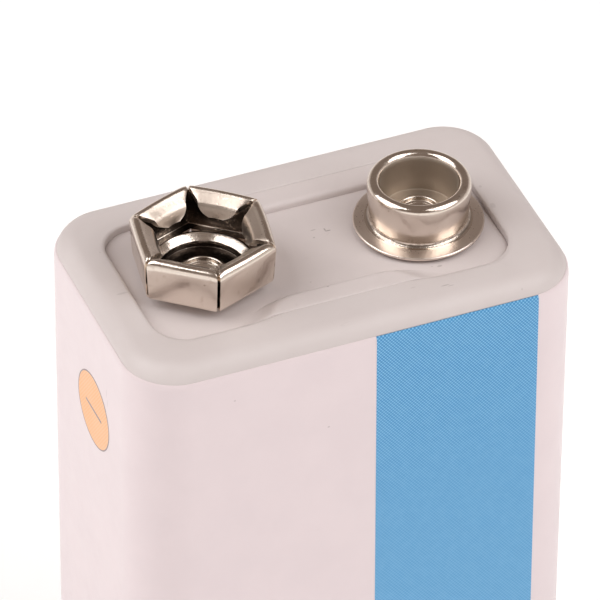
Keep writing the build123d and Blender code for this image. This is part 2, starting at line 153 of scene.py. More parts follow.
@dataclass(frozen=True)
class Profile:
    """Path in a section plane: rows of distance out and height, in millimetres."""

    points: np.ndarray
    closed: bool = True

    def _ends(self) -> np.ndarray:
        """The path with its first point again at the end if it is closed."""
        return np.vstack([self.points, self.points[:1]]) if self.closed else self.points

    def _sampled(self, measure: np.ndarray, count: int) -> np.ndarray:
        """Points of the path at equal steps of a measure that grows along it.

        Args:
            measure: Its value at each point.
            count: How many points.

        Returns:
            Rows of distance out and height.
        """
        places = np.linspace(0.0, measure[-1], count, endpoint=not self.closed)
        return np.column_stack([np.interp(places, measure, column) for column in self._ends().T])

    def softened(self, reach: float) -> "Profile":
        """Rounds the bends by averaging the path over a short length of itself.

        Args:
            reach: Length that is averaged.

        Returns:
            The rounded path, densely sampled.
        """
        half = 12
        along = np.concatenate([[0.0], np.cumsum(np.hypot(*np.diff(self._ends(), axis=0).T))])
        dense = self._sampled(along, max(int(along[-1] / reach * 2 * half), 4 * half))
        if self.closed:
            padded = np.vstack([dense[-half:], dense, dense[:half]])
        else:
            before = 2 * dense[0] - dense[half:0:-1]
            after = 2 * dense[-1] - dense[-2 : -half - 2 : -1]
            padded = np.vstack([before, dense, after])
        weight = np.hanning(2 * half + 3)[1:-1]
        weight /= weight.sum()
        soft = [np.convolve(column, weight, mode="valid") for column in padded.T]
        return Profile(np.column_stack(soft), self.closed)

    def thinned(self, longest: float = 0.5, turn: float = math.radians(8)) -> "Profile":
        """Keeps the points where the path bends.

        The measure grows with the length passed and with the angle turned. Equal steps of it
        put many points in the bends and few on the straight runs.

        Args:
            longest: Longest step on a straight run.
            turn: Largest turn in one step.

        Returns:
            The path with fewer points.
        """
        steps = np.diff(self._ends(), axis=0)
        heading = np.unwrap(np.arctan2(steps[:, 1], steps[:, 0]))
        turning = np.abs(np.diff(heading, append=heading[-1]))
        measure = np.concatenate([[0.0], np.cumsum(np.hypot(*steps.T) / longest + turning / turn)])
        return Profile(self._sampled(measure, int(math.ceil(measure[-1])) + 1), self.closed)

    def revolved(self, centre_x: float, segments: int = 168) -> np.ndarray:
        """Turns the path about an upright axis.

        Args:
            centre_x: Place of the axis along the battery.
            segments: Steps once round.

        Returns:
            Grid of points with shape (path points, segments, 3).
        """
        turn = np.linspace(0.0, 2 * math.pi, segments, endpoint=False)
        out, height = self.points[:, :1], self.points[:, 1:]
        x = centre_x + out * np.cos(turn)
        return np.stack([x, out * np.sin(turn), np.broadcast_to(height, x.shape)], axis=-1)


def arc(centre: tuple[float, float], radii: tuple[float, float], first: float, last: float) -> np.ndarray:
    """Samples part of an ellipse in a section plane.

    Args:
        centre: Distance out and height of the middle.
        radii: Half widths of the ellipse.
        first: Angle of the first point, in degrees.
        last: Angle of the last point, in degrees.

    Returns:
        Rows of distance out and height.
    """
    turn = np.radians(np.linspace(first, last, 16))
    return np.column_stack([centre[0] + radii[0] * np.cos(turn), centre[1] + radii[1] * np.sin(turn)])


def joined(*runs: Sequence) -> np.ndarray:
    """Puts points, lists of points and arcs one after the other as the rows of one path."""
    return np.vstack([np.atleast_2d(np.asarray(run, float)) for run in runs])


def eased(share: np.ndarray) -> np.ndarray:
    """Limits a share to 0 and 1 and eases it: its square times three less twice itself."""
    share = np.clip(share, 0.0, 1.0)
    return share**2 * (3.0 - 2.0 * share)


# Meshes


def grid_quads(rows: int, columns: int, wrap_rows: bool, wrap_columns: bool) -> np.ndarray:
    """Corner indices of the quads of a grid.

    Args:
        rows: Points down the grid.
        columns: Points across it.
        wrap_rows: Whether the last row joins the first.
        wrap_columns: Whether the last column joins the first.

    Returns:
        Array of shape (quads, 4).
    """
    row = np.arange(rows if wrap_rows else rows - 1)[:, None]
    column = np.arange(columns if wrap_columns else columns - 1)[None, :]
    below, beside = (row + 1) % rows, (column + 1) % columns
    corners = ((row, column), (row, beside), (below, beside), (below, column))
    return np.stack([r * columns + c for r, c in corners], axis=-1).reshape(-1, 4)


@dataclass
class Shell:
    """Closed surfaces that make one mesh. Each surface is added with a call that gives the shell back."""

    points: list[np.ndarray] = field(default_factory=list)
    polygons: list[np.ndarray] = field(default_factory=list)
    count: int = 0

    def _add(self, points: np.ndarray, *polygons: np.ndarray) -> "Shell":
        """Adds one closed surface and turns its faces outwards.

        The sum over the faces' triangles of the first corner times the cross product of the
        other two is six times the volume; where it is negative the corners are reversed.

        Args:
            points: Array of shape (points, 3), or a grid of such points.
            *polygons: Arrays of faces, one for each number of corners.

        Returns:
            The shell.
        """
        points = points.reshape(-1, 3)
        volume = 0.0
        for faces in polygons:
            for k in range(1, faces.shape[1] - 1):
                a, b, c = (points[faces[:, i]] for i in (0, k, k + 1))
                volume += float(np.einsum("ij,ij->", a, np.cross(b, c)))
        turn = -1 if volume < 0 else 1
        self.polygons += [faces[:, ::turn] + self.count for faces in polygons]
        self.points.append(points)
        self.count += len(points)
        return self

    def add_loop(self, grid: np.ndarray) -> "Shell":
        """Adds a grid that closes on itself both ways."""
        return self._add(grid, grid_quads(*grid.shape[:2], True, True))

    def add_tube(self, grid: np.ndarray) -> "Shell":
        """Adds a grid that closes round its columns, with a flat cap at each end.

        Args:
            grid: Points with shape (rows, columns, 3).

        Returns:
            The shell.
        """
        rows, columns = grid.shape[:2]
        first = np.arange(columns)[None, ::-1]
        last = first[:, ::-1] + (rows - 1) * columns
        return self._add(grid, grid_quads(rows, columns, False, True), first, last)

    def add_sheet(self, face: np.ndarray, back: np.ndarray) -> "Shell":
        """Adds a sheet from its two faces and closes it round the edge.

        Args:
            face: Points with shape (rows, columns, 3).
            back: The points behind them, in the same order.

        Returns:
            The shell.
        """
        rows, columns = face.shape[:2]
        near = np.arange(columns - 1)
        far = 2 * columns - 1 - near
        end = np.column_stack([near, far, far - 1, near + 1])
        other = end[:, ::-1] + (rows - 1) * 2 * columns
        grid = np.concatenate([face, back[:, ::-1]], axis=1)
        return self._add(grid, grid_quads(rows, 2 * columns, False, True), end, other)

    def build(self, name: str, sharp: float = 40.0) -> bpy.types.Object:
        """Makes the mesh object, in metres, in the shared frame.

        Args:
            name: Name of the object.
            sharp: Edges that turn by more than this many degrees stay sharp.

        Returns:
            The object, linked into the scene.
        """
        mesh = bpy.data.meshes.new(name)
        points = np.concatenate(self.points) * MM
        corners = np.concatenate([faces.ravel() for faces in self.polygons])
        totals = np.concatenate([np.full(len(faces), faces.shape[1]) for faces in self.polygons])
        starts = np.concatenate([[0], np.cumsum(totals)[:-1]])
        mesh.vertices.add(len(points))
        mesh.vertices.foreach_set("co", points.astype(np.float32).ravel())
        mesh.loops.add(len(corners))
        mesh.loops.foreach_set("vertex_index", corners.astype(np.int32))
        mesh.polygons.add(len(totals))
        mesh.polygons.foreach_set("loop_start", starts.astype(np.int32))
        mesh.update(calc_edges=True)
        mesh.validate()
        mesh.shade_smooth()
        mesh.set_sharp_from_angle(angle=math.radians(sharp))
        piece = bpy.data.objects.new(name, mesh)
        bpy.context.scene.collection.objects.link(piece)
        return piece


# Node trees


class NodeTree:
    """Adds and joins the nodes of one tree."""

    def __init__(self, tree: bpy.types.NodeTree) -> None:
        """Keeps the tree."""
        self.tree = tree

    def feed(self, socket: Socket, value: object) -> None:
        """Links a socket to an input or sets the input's own value, a colour with an alpha of 1.

        Args:
            socket: The input.
            value: A socket, a number, a vector or a colour.
        """
        if isinstance(value, bpy.types.NodeSocket):
            self.tree.links.new(value, socket)
        else:
            socket.default_value = (*value, 1.0) if socket.type == "RGBA" else value

    def add(self, kind: str, inputs: dict | None = None, **settings: object) -> bpy.types.Node:
        """Adds a node.

        Args:
            kind: Node type.
            inputs: Values or sockets for its inputs, by name or index.
            **settings: Properties of the node.

        Returns:
            The node.
        """
        node = self.tree.nodes.new(kind)
        for key, value in settings.items():
            setattr(node, key, value)
        for key, value in (inputs or {}).items():
            self.feed(node.inputs[key], value)
        return node

    def math(self, operation: str, *values: object) -> Socket:
        """Does one sum."""
        return self.add("ShaderNodeMath", dict(enumerate(values)), operation=operation).outputs[0]

    def plus(self, first: object, second: object) -> Socket:
        """Adds two values."""
        return self.math("ADD", first, second)

    def minus(self, first: object, second: object) -> Socket:
        """Takes the second value from the first."""
        return self.math("SUBTRACT", first, second)

    def over(self, first: object, second: object) -> Socket:
        """Divides the first value by the second."""
        return self.math("DIVIDE", first, second)

    def times(self, first: object, *others: object) -> Socket:
        """Multiplies values.

        Args:
            first: The first value.
            *others: The values that it is multiplied by, one after the other.

        Returns:
            The product.
        """
        for other in others:
            first = self.math("MULTIPLY", first, other)
        return first

    def vector(self, operation: str, *values: object, output: str = "Vector") -> Socket:
        """Does one sum on vectors."""
        node = self.add("ShaderNodeVectorMath", dict(enumerate(values)), operation=operation)
        return node.outputs[output]

    def mix(self, factor: object, first: object, second: object) -> Socket:
        """Mixes two colours."""
        return self.add("ShaderNodeMix", {0: factor, 6: first, 7: second}, data_type="RGBA").outputs[2]

    def remap(
        self, value: object, low: float, high: float, first: object = 0.0, last: object = 1.0
    ) -> Socket:
        """Carries a range of values smoothly to another.

        Args:
            value: What is carried.
            low: Value that gives the first result.
            high: Value that gives the last result.
            first: Result at low.
            last: Result at high.

        Returns:
            The result.
        """
        inputs = {"Value": value, "From Min": low, "From Max": high, "To Min": first, "To Max": last}
        return self.add("ShaderNodeMapRange", inputs, interpolation_type="SMOOTHSTEP").outputs[0]

    def place(self, scale: Triple = (1, 1, 1), turn: Triple = (0, 0, 0)) -> Socket:
        """Gives the place on the object in millimetres, turned and then scaled.

        Args:
            scale: Factor on each axis.
            turn: Angles about the axes, in degrees.

        Returns:
            The place.
        """
        inputs = {
            "Vector": self.add("ShaderNodeTexCoord").outputs["Object"],
            "Rotation": tuple(math.radians(angle) for angle in turn),
            "Scale": tuple(factor / MM for factor in scale),
        }
        return self.add("ShaderNodeMapping", inputs).outputs[0]

    def axes(self, vector: Socket) -> Sequence[Socket]:
        """The three parts of a vector."""
        return self.add("ShaderNodeSeparateXYZ", {0: vector}).outputs

    def noise(self, vector: Socket, scale: object, detail: float = 2.0, roughness: float = 0.5) -> Socket:
        """Gives fractal noise between 0 and 1."""
        inputs = {"Vector": vector, "Scale": scale, "Detail": detail, "Roughness": roughness}
        return self.add("ShaderNodeTexNoise", inputs).outputs[0]


class Effect(Enum):
    """Surface effects that several finishes share."""

    GRAIN = "moulded_grain"
    SPECKS = "dust_specks"
    SCRATCHES = "fine_scratches"
    HALFTONE = "halftone_dots"
    STREAKS = "drawn_streaks"
    MARK = "dirt_mark"
    WEAVE = "glass_weave"
    # Mask of the films on the terminals, most of them painted shade.
    SHADE_FILM = "hollow_shade_film"


EFFECT_INPUTS: dict[Effect, dict[str, float | Triple]] = {
    Effect.GRAIN: {"Size": 0.2},
    Effect.SPECKS: {"Cell": 1.2, "Radius": 0.06, "Share": 0.3},
    Effect.SCRATCHES: {"Amount": 1.0},
    Effect.HALFTONE: {"Across": 0.0, "Up": 0.0, "Pitch": 0.15, "Coverage": 0.7},
    Effect.STREAKS: {"Fineness": 6.0},
    Effect.MARK: {"Centre": (0.0, 0.0, 0.0), "Reach": (0.2, 0.2, 0.2), "Raggedness": 0.4},
    Effect.WEAVE: {"Pitch": 0.4},
    Effect.SHADE_FILM: {
        **{"Centre": (0.0, 0.0, 0.0), "Inner": 0.0, "Outer": 3.0, "Bottom": 44.0, "Top": 47.0},
        **{"Hexagon": 0.0, "Flecks": 1.0},
    },
}


class EffectTree(NodeTree):
    """The node group of one effect. Each of its methods gives the outputs of one group by name."""

    def __init__(self, effect: Effect) -> None:
        """Makes the group with its named inputs and outputs.

        Args:
            effect: Which effect.
        """
        super().__init__(bpy.data.node_groups.new(effect.value, "ShaderNodeTree"))
        sockets = self.tree.interface
        for name, value in EFFECT_INPUTS[effect].items():
            kind = "NodeSocketVector" if isinstance(value, tuple) else "NodeSocketFloat"
            sockets.new_socket(name=name, in_out="INPUT", socket_type=kind).default_value = value
        self.given = self.add("NodeGroupInput").outputs
        makers: dict[Effect, Callable[[], dict[str, Socket]]] = {
            Effect.GRAIN: self.grain,
            Effect.SPECKS: self.specks,
            Effect.SCRATCHES: self.scratches,
            Effect.HALFTONE: self.halftone,
            Effect.STREAKS: self.streaks,
            Effect.MARK: self.mark,
            Effect.WEAVE: self.weave,
            Effect.SHADE_FILM: self.film,
        }
        results = makers[effect]()
        for name in results:
            sockets.new_socket(name=name, in_out="OUTPUT", socket_type="NodeSocketFloat")
        self.add("NodeGroupOutput", results)

    def grain(self) -> dict[str, Socket]:
        """Fine bumps of a moulded face and a broad change of tone, both fractal noise.

        Returns:
            Fine and Tone.
        """
        place = self.place()
        fine = self.noise(place, self.over(1.0, self.given["Size"]), 3.0, 0.6)
        return {"Fine": fine, "Tone": self.noise(place, 0.35, 3.0, 0.55)}

    def specks(self) -> dict[str, Socket]:
        """Small spots, one in some of the cells that the surface is divided into.

        The distance from a cell's middle, made uneven by noise, is held against the radius.

        Returns:
            Mask.
        """
        cell, radius, share = self.given[:3]
        wobble = self.remap(self.noise(self.place(), 9.0, 1.0), 0.3, 0.7, 0.6, 1.7)
        inputs = {"Vector": self.place(), "Scale": self.over(1.0, cell)}
        distance, colour = self.add("ShaderNodeTexVoronoi", inputs).outputs[:2]
        size = self.over(self.times(distance, cell, wobble), radius)
        lot = self.add("ShaderNodeSeparateColor", {0: colour}).outputs[0]
        spot = self.remap(size, 0.6, 1.1, 1.0, 0.0)
        return {"Mask": self.times(spot, self.math("LESS_THAN", lot, share))}

    def scratches(self) -> dict[str, Socket]:
        """Thin lines in two directions where a stretched noise crosses its middle value.

        Returns:
            Mask.
        """
        lines = []
        for turn in ((12.0, 24.0, 37.0), (-20.0, 8.0, -58.0)):
            stretched = self.noise(self.place((0.12, 1.0, 0.5), turn), 1.3, 1.0)
            line = self.remap(self.math("ABSOLUTE", self.minus(stretched, 0.5)), 0.001, 0.004, 1.0, 0.0)
            patch = self.remap(self.noise(self.place(turn=turn), 0.7, 1.0), 0.58, 0.66)
            lines.append(self.times(line, patch))
        return {"Mask": self.times(self.math("MAXIMUM", *lines), self.given["Amount"])}

    def halftone(self) -> dict[str, Socket]:
        """Rows of printed dots, turned a little from the upright.

        Two cosine waves at a right angle are added, and the coverage moves the level at which
        their sum is ink.

        Returns:
            Mask.
        """
        across, up, pitch, coverage = self.given[:4]
        angle = math.radians(38.0)
        waves = []
        for one, two in ((math.cos(angle), math.sin(angle)), (-math.sin(angle), math.cos(angle))):
            run = self.over(self.plus(self.times(across, one), self.times(up, two)), pitch)
            waves.append(self.math("COSINE", self.times(run, 2 * math.pi)))
        level = self.remap(self.plus(*waves), -2.0, 2.0)
        return {"Mask": self.remap(self.minus(self.plus(level, coverage), 0.5), 0.25, 0.75)}

    def streaks(self) -> dict[str, Socket]:
        """Upright drawing marks, made by noise that is stretched along the height.

        Returns:
            Fine and Broad.
        """
        fine = self.noise(self.place((1.0, 1.0, 0.10)), self.given["Fineness"], 3.0, 0.6)
        return {"Fine": fine, "Broad": self.noise(self.place((1.0, 1.0, 0.25)), 0.9)}

    def mark(self) -> dict[str, Socket]:
        """One spot of dirt: an ellipsoid round a place, with noise added to its edge.

        Returns:
            Mask.
        """
        centre, reach, raggedness = self.given[:3]
        place = self.place()
        away = self.vector("DIVIDE", self.vector("SUBTRACT", place, centre), reach)
        wobble = self.times(self.minus(self.noise(place, 6.0), 0.5), raggedness)
        edge = self.plus(self.vector("LENGTH", away, output="Value"), wobble)
        return {"Mask": self.remap(edge, 0.5, 1.0, 1.0, 0.0)}

    def weave(self) -> dict[str, Socket]:
        """Crossed threads under a clear surface: one sine wave times another across it.

        Returns:
            Mask.
        """
        runs = [self.over(part, self.given["Pitch"]) for part in self.axes(self.place())[:2]]
        waves = [self.math("SINE", self.times(run, 2 * math.pi)) for run in runs]
        return {"Mask": self.remap(self.times(*waves), -1.0, 1.0)}

    def film(self) -> dict[str, Socket]:
        """Mask of a film, most often painted shade in a hollow, between two distances from an axis and two
        heights, with bare flecks.

        The distance is the plain radius, or the distance to the sides of a hexagon where the
        input Hexagon is 1. A side's distance is the size of the place's part along its normal,
        and the largest of the three pairs of sides counts.

        Returns:
            Mask.
        """
        centre, inner, outer, bottom, top, hexagon, flecks = self.given[:7]
        x, y, z = self.axes(self.vector("SUBTRACT", self.place(), centre))
        flat = self.add("ShaderNodeCombineXYZ", {0: x, 1: y}).outputs[0]
        widest: Socket | float = 0.0
        for step in range(3):
            turn = math.radians(SIZES.hexagon_turn + 60 * step)
            part = self.vector("DOT_PRODUCT", flat, (math.cos(turn), math.sin(turn), 0.0), output="Value")
            widest = self.math("MAXIMUM", self.math("ABSOLUTE", part), widest)
        radius = self.times(self.vector("LENGTH", flat, output="Value"), self.minus(1.0, hexagon))
        out = self.plus(radius, self.times(widest, hexagon))
        uneven = self.times(self.minus(self.noise(self.place(), 3.0, 3.0), 0.5), 0.6)
        limits = (
            self.remap(self.minus(out, outer), -0.03, 0.03, 1.0, 0.0),
            self.remap(self.minus(out, inner), -0.03, 0.03),
            self.remap(self.plus(self.minus(z, top), uneven), -0.10, 0.06, 1.0, 0.0),
            self.remap(self.minus(z, bottom), -0.04, 0.04),
            self.remap(self.noise(self.place(), 7.0), 0.60, 0.68, 1.0, flecks),
        )
        return {"Mask": self.times(*limits)}


@cache
def effect_group(effect: Effect) -> bpy.types.NodeTree:
    """The node group of an effect, built the first time that it is asked for."""
    return EffectTree(effect).tree


@dataclass(frozen=True)
class Mark:
    """A spot of dirt or a short scratch, in millimetres."""

    centre: Triple
    reach: Triple
    strength: float


@dataclass(frozen=True)
class Specks:
    """Dust: size of the cells that may hold a speck, its radius, the share that do, its ink and strength."""

    cell: float
    radius: float
    share: float
    ink: Colour
    strength: float


@dataclass(frozen=True)
class ShadeAndDullFilm:
    """A film on a terminal, most often painted shade in a hollow: its axis, distances out and heights, in
    millimetres, and its look.
    """

    x: float
    inner: float
    outer: float
    bottom: float
    top: float
    strength: float = 0.8
    # Near black by default: the colour of painted shade.
    colour: Colour = (0.060, 0.044, 0.036)
    roughness: float = 0.25
    hexagon: bool = False
    flecks: float = 1.0


class Look:
    """A material being built: a principled shader, the effects that feed it and its colour so far."""

    def __init__(self, name: str, colour: Colour) -> None:
        """Starts the material.

        Args:
            name: Name of the material.
            colour: Colour under all the others.
        """
        self.material = bpy.data.materials.new(name)
        self.material.use_nodes = True
        self.nodes = NodeTree(self.material.node_tree)
        self.material.node_tree.nodes.clear()
        self.shader = self.nodes.add("ShaderNodeBsdfPrincipled")
        self.nodes.add("ShaderNodeOutputMaterial", {"Surface": self.shader.outputs[0]})
        self.colour: Colour | Socket = colour

    def effect(self, effect: Effect, **inputs: object) -> Sequence[Socket]:
        """Adds a shared effect with its inputs and gives its outputs."""
        return self.nodes.add("ShaderNodeGroup", inputs, node_tree=effect_group(effect)).outputs

    def paint(self, mask: Socket, colour: Colour, strength: float = 1.0) -> Socket:
        """Mixes a colour over the one so far.

        Args:
            mask: Where it lies.
            colour: The colour.
            strength: Factor on the mask.

        Returns:
            The mask times the strength.
        """
        factor = mask if strength == 1.0 else self.nodes.times(mask, strength)
        self.colour = self.nodes.mix(factor, self.colour, colour)
        return factor

    def dust(self, dust: Specks) -> None:
        """Lays specks over the colour."""
        mask = self.effect(Effect.SPECKS, Cell=dust.cell, Radius=dust.radius, Share=dust.share)[0]
        self.paint(mask, dust.ink, dust.strength)

    def marks(self, marks: Sequence[Mark], ink: Colour) -> None:
        """Lays spots of dirt over the colour."""
        for mark in marks:
            self.paint(self.effect(Effect.MARK, Centre=mark.centre, Reach=mark.reach)[0], ink, mark.strength)

    def bump(self, height: Socket, depth: float, **before: Socket) -> Socket:
        """Turns a height from 0 to 1 into a change of the normal.

        Args:
            height: The height.
            depth: How deep 1 is, in millimetres.
            **before: As Normal, a normal that this one is laid over.

        Returns:
            The normal.
        """
        inputs = {"Height": height, "Distance": depth * MM, "Strength": 1.0, **before}
        return self.nodes.add("ShaderNodeBump", inputs).outputs[0]

    def done(self, **values: object) -> bpy.types.Material:
        """Sets the shader's inputs, the colour among them.

        Args:
            **values: The other inputs; an underscore in a name stands for a space.

        Returns:
            The material.
        """
        for name, value in {"Base_Color": self.colour, **values}.items():
            self.nodes.feed(self.shader.inputs[name.replace("_", " ")], value)
        return self.material


@dataclass(frozen=True)
class Finish:
    """A finish with a colour and the second tone that it changes to here and there."""

    name: str
    colour: Colour
    shade: Colour


DUST = Specks(1.1, 0.045, 0.22, (0.22, 0.17, 0.15), 0.25)


@dataclass(frozen=True)
class Plastic(Finish):
    """Moulded or cast plastic with a fine grain, dust and a few scratches.

    Broad or fine noise mixes the two tones. The fine noise also makes the bumps, and it moves
    the roughness by the spread as it goes from one limit to the other.
    """

    roughness: float = 0.42
    dust: Specks = DUST
    marks: tuple[Mark, ...] = ()
    ink: Colour = (0.13, 0.10, 0.09)
    scratches: float = 0.08
    scratch_ink: Colour = (0.35, 0.30, 0.28)
    grain: float = 0.16
    depth: float = 0.004
    fine_tones: bool = False
    limits: tuple[float, float] = (0.2, 0.8)
    spread: tuple[float, float] = (-0.05, 0.08)

    def build(self) -> bpy.types.Material:
        """Makes the material.

        Returns:
            The material.
        """
        look = Look(self.name, self.colour)
        grain = look.effect(Effect.GRAIN, Size=self.grain)
        tones = grain["Fine" if self.fine_tones else "Tone"]
        look.paint(look.nodes.remap(tones, 0.3, 0.7), self.shade)
        look.dust(self.dust)
        if self.scratches:
            look.paint(look.effect(Effect.SCRATCHES, Amount=self.scratches)[0], self.scratch_ink)
        look.marks(self.marks, self.ink)
        ends = [self.roughness + change for change in self.spread]
        rough = look.nodes.remap(grain["Fine"], *self.limits, *ends)
        return look.done(Roughness=rough, Normal=look.bump(grain["Fine"], self.depth))


@dataclass(frozen=True)
class Film(Plastic):
    """Glossy printed film or tape, made like plastic."""

    roughness: float = 0.34
    dust: Specks = Specks(2.6, 0.035, 0.10, (0.45, 0.33, 0.32), 0.30)
    ink: Colour = (0.30, 0.24, 0.24)
    scratches: float = 0.0
    grain: float = 0.9
    limits: tuple[float, float] = (0.3, 0.7)
    spread: tuple[float, float] = (-0.04, 0.05)


@dataclass(frozen=True)
class Fibre(Plastic):
    """Open foam or paper, made like plastic, with pores in its second tone for dust."""

    roughness: float = 0.85
    scratches: float = 0.0
    fine_tones: bool = True
    spread: tuple[float, float] = (-0.05, 0.10)


@dataclass(frozen=True)
class Nickel:
    """Nickel plated sheet with drawing marks, a little tarnish, and films over it, most of them painted shade
    in its hollows.
    """

    name: str
    colour: Colour = (0.76, 0.672, 0.592)
    roughness: float = 0.16
    dent_depth: float = 0.008
    shade_and_films: tuple[ShadeAndDullFilm, ...] = ()
    tarnish: Colour = (0.44, 0.34, 0.27)
    dust: Specks = Specks(0.55, 0.05, 0.25, (0.16, 0.11, 0.08), 0.5)
    streak_depth: float = 0.006

    def build(self) -> bpy.types.Material:
        """Makes the material. A film, most often painted shade, mixes its own colour and roughness over those
        below.

        Returns:
            The material.
        """
        look = Look(self.name, self.colour)
        fine, broad = look.effect(Effect.STREAKS, Fineness=5.0)
        grain = look.effect(Effect.GRAIN, Size=0.5)["Fine"]
        look.paint(look.nodes.remap(grain, 0.56, 0.78, 0.0, 0.45), self.tarnish)
        look.dust(self.dust)
        rough = look.nodes.remap(broad, 0.3, 0.7, self.roughness - 0.05, self.roughness + 0.08)
        for film in self.shade_and_films:
            limits = {"Inner": film.inner, "Outer": film.outer, "Bottom": film.bottom, "Top": film.top}
            kind = {"Hexagon": float(film.hexagon), "Flecks": film.flecks}
            mask = look.effect(Effect.SHADE_FILM, Centre=(film.x, 0.0, 0.0), **limits, **kind)[0]
            factor = look.paint(mask, film.colour, film.strength)
            change = look.nodes.times(look.nodes.minus(film.roughness, rough), factor)
            rough = look.nodes.plus(rough, change)
        normal = look.bump(fine, self.streak_depth, Normal=look.bump(grain, self.dent_depth))
        return look.done(Metallic=1.0, Roughness=rough, Normal=normal)


@dataclass(frozen=True)
class Print(Finish):
    """Ink in halftone dots on the glossy film, which is the second tone.

    The coverage falls by the fade down the film, and the dots stand out clearly near the top.
    """

    across: int
    coverage: float
    pitch: float = 0.152
    fade: float = 0.0
    contrast: tuple[float, float] = (0.25, 0.80)
    clear_from: float = 31.0
    clear_to: float = 43.0

    def build(self) -> bpy.types.Material:
        """Makes the material.

        Returns:
            The material.
        """
        look = Look(self.name, self.shade)
        nodes = look.nodes
        parts = nodes.axes(nodes.place())
        cover = nodes.remap(parts[2], 0.0, SIZES.film_high, self.coverage - self.fade, self.coverage)
        run = {"Across": parts[self.across], "Up": parts[2]}
        dots = look.effect(Effect.HALFTONE, **run, Pitch=self.pitch, Coverage=cover)
        clear = nodes.remap(parts[2], self.clear_from, self.clear_to, *self.contrast)
        even = nodes.times(cover, nodes.minus(1.0, clear))
        look.paint(nodes.plus(nodes.times(dots[0], clear), even), self.colour)
        grain = look.effect(Effect.GRAIN, Size=0.5)
        look.paint(nodes.remap(grain["Fine"], 0.3, 0.8, 0.0, 0.12), self.shade)
        rough = nodes.remap(grain["Tone"], 0.3, 0.7, 0.30, 0.40)
        return look.done(Roughness=rough, Normal=look.bump(grain["Fine"], 0.003))


@dataclass(frozen=True)
class Laminate(Finish):
    """Circuit board: solder resist over a glass weave."""

    def build(self) -> bpy.types.Material:
        """Makes the material.

        Returns:
            The material.
        """
        look = Look(self.name, self.colour)
        weave = look.effect(Effect.WEAVE, Pitch=0.5)[0]
        look.paint(weave, self.shade)
        grain = look.effect(Effect.GRAIN, Size=0.2)
        rough = look.nodes.remap(grain["Fine"], 0.3, 0.7, 0.28, 0.42)
        return look.done(Roughness=rough, Normal=look.bump(weave, 0.01), Coat_Weight=0.3)


RING_MARKS = (
    Mark((-11.13, -0.22, 45.2), (0.42, 0.10, 0.2), 0.16),
    Mark((2.57, 4.17, 45.2), (0.16, 0.06, 0.2), 0.40),
    Mark((10.50, -0.67, 45.2), (0.18, 0.30, 0.2), 0.16),
    Mark((10.53, 1.14, 45.2), (0.10, 0.14, 0.2), 0.16),
    Mark((5.35, -6.07, 45.2), (0.34, 0.05, 0.2), 0.35),
    Mark((5.62, -6.20, 45.2), (0.22, 0.04, 0.2), 0.30),
    Mark((9.27, -7.60, 44.9), (0.12, 0.20, 0.2), 0.45),
    Mark((3.65, -5.60, 45.2), (0.22, 0.05, 0.2), 0.15),
)
FLOOR_MARKS = (
    Mark((1.49, 1.21, 44.72), (0.20, 0.05, 0.2), 0.60),
    Mark((1.36, 1.36, 44.72), (0.06, 0.16, 0.2), 0.45),
    Mark((0.75, 1.56, 44.72), (0.20, 0.04, 0.2), 0.45),
    Mark((0.55, 0.93, 44.72), (0.07, 0.06, 0.2), 0.45),
    Mark((-3.16, -3.48, 44.9), (0.09, 0.09, 0.4), 0.45),
    Mark((-0.56, -3.75, 45.0), (0.11, 0.08, 0.4), 0.40),
    Mark((5.95, -3.89, 44.72), (0.18, 0.10, 0.2), 0.32),
    Mark((5.55, -3.78, 44.72), (0.09, 0.06, 0.2), 0.25),
)
LABEL_MARKS = (
    Mark((-2.14, -7.85, 38.92), (0.09, 0.3, 0.07), 0.40),
    Mark((-7.62, -7.85, 42.47), (0.09, 0.3, 0.07), 0.35),
    Mark((-13.0, -2.58, 40.55), (0.3, 0.035, 0.40), 0.45),
    Mark((-13.0, -2.68, 39.95), (0.3, 0.035, 0.36), 0.40),
)
LEFT, RIGHT = -SIZES.terminal_x, SIZES.terminal_x
# Films on the terminals. Most are painted shade: the dark inner faces of the snap's arms, its slits, its dish
# round the rivet, the dish under the skirts, the inside of the stud's bore and the crease at the stud's foot.
# The others darken and roughen the snap's leaves to tone down their highlights, and dull the stud's foot and
# barrel.
TERMINAL_SHADE_AND_FILMS = (
    # Painted shade on the inner faces of the snap's arms.
    ShadeAndDullFilm(LEFT, 2.80, 3.455, 45.62, 47.05, 0.93, hexagon=True, flecks=0.35),
    # Painted shade in the slits between the snap's arms.
    ShadeAndDullFilm(LEFT, 3.26, 3.55, 46.40, 47.55, 0.93, hexagon=True),
    ShadeAndDullFilm(LEFT, 2.20, 3.30, 46.95, 48.20, 0.80, (0.56, 0.475, 0.41), 0.36, True, 0.6),
    # Painted shade on the dish's floor round the rivet.
    ShadeAndDullFilm(LEFT, 1.30, 2.42, 44.80, 45.36, 0.90, flecks=0.7),
    # Painted shade on the dish's side under the skirts.
    ShadeAndDullFilm(LEFT, 2.50, 2.90, 44.00, 45.33, 0.50, (0.40, 0.34, 0.30), 0.5),
    # Painted shade inside the stud's bore, which is also duller.
    ShadeAndDullFilm(RIGHT, 0.00, 2.18, 45.00, 48.50, 0.90, (0.51, 0.440, 0.372), 0.55),
    ShadeAndDullFilm(RIGHT, 2.98, 3.70, 44.60, 45.44, 0.70, (0.80, 0.69, 0.62), 0.38, flecks=0.75),
    ShadeAndDullFilm(RIGHT, 2.60, 2.92, 45.42, 47.50, 0.35, (0.60, 0.53, 0.47), 0.22),
    # Painted shade in the crease at the foot of the stud's barrel.
    ShadeAndDullFilm(RIGHT, 2.70, 2.86, 45.06, 45.36, 0.55, (0.14, 0.10, 0.08), 0.30, flecks=0.2),
)


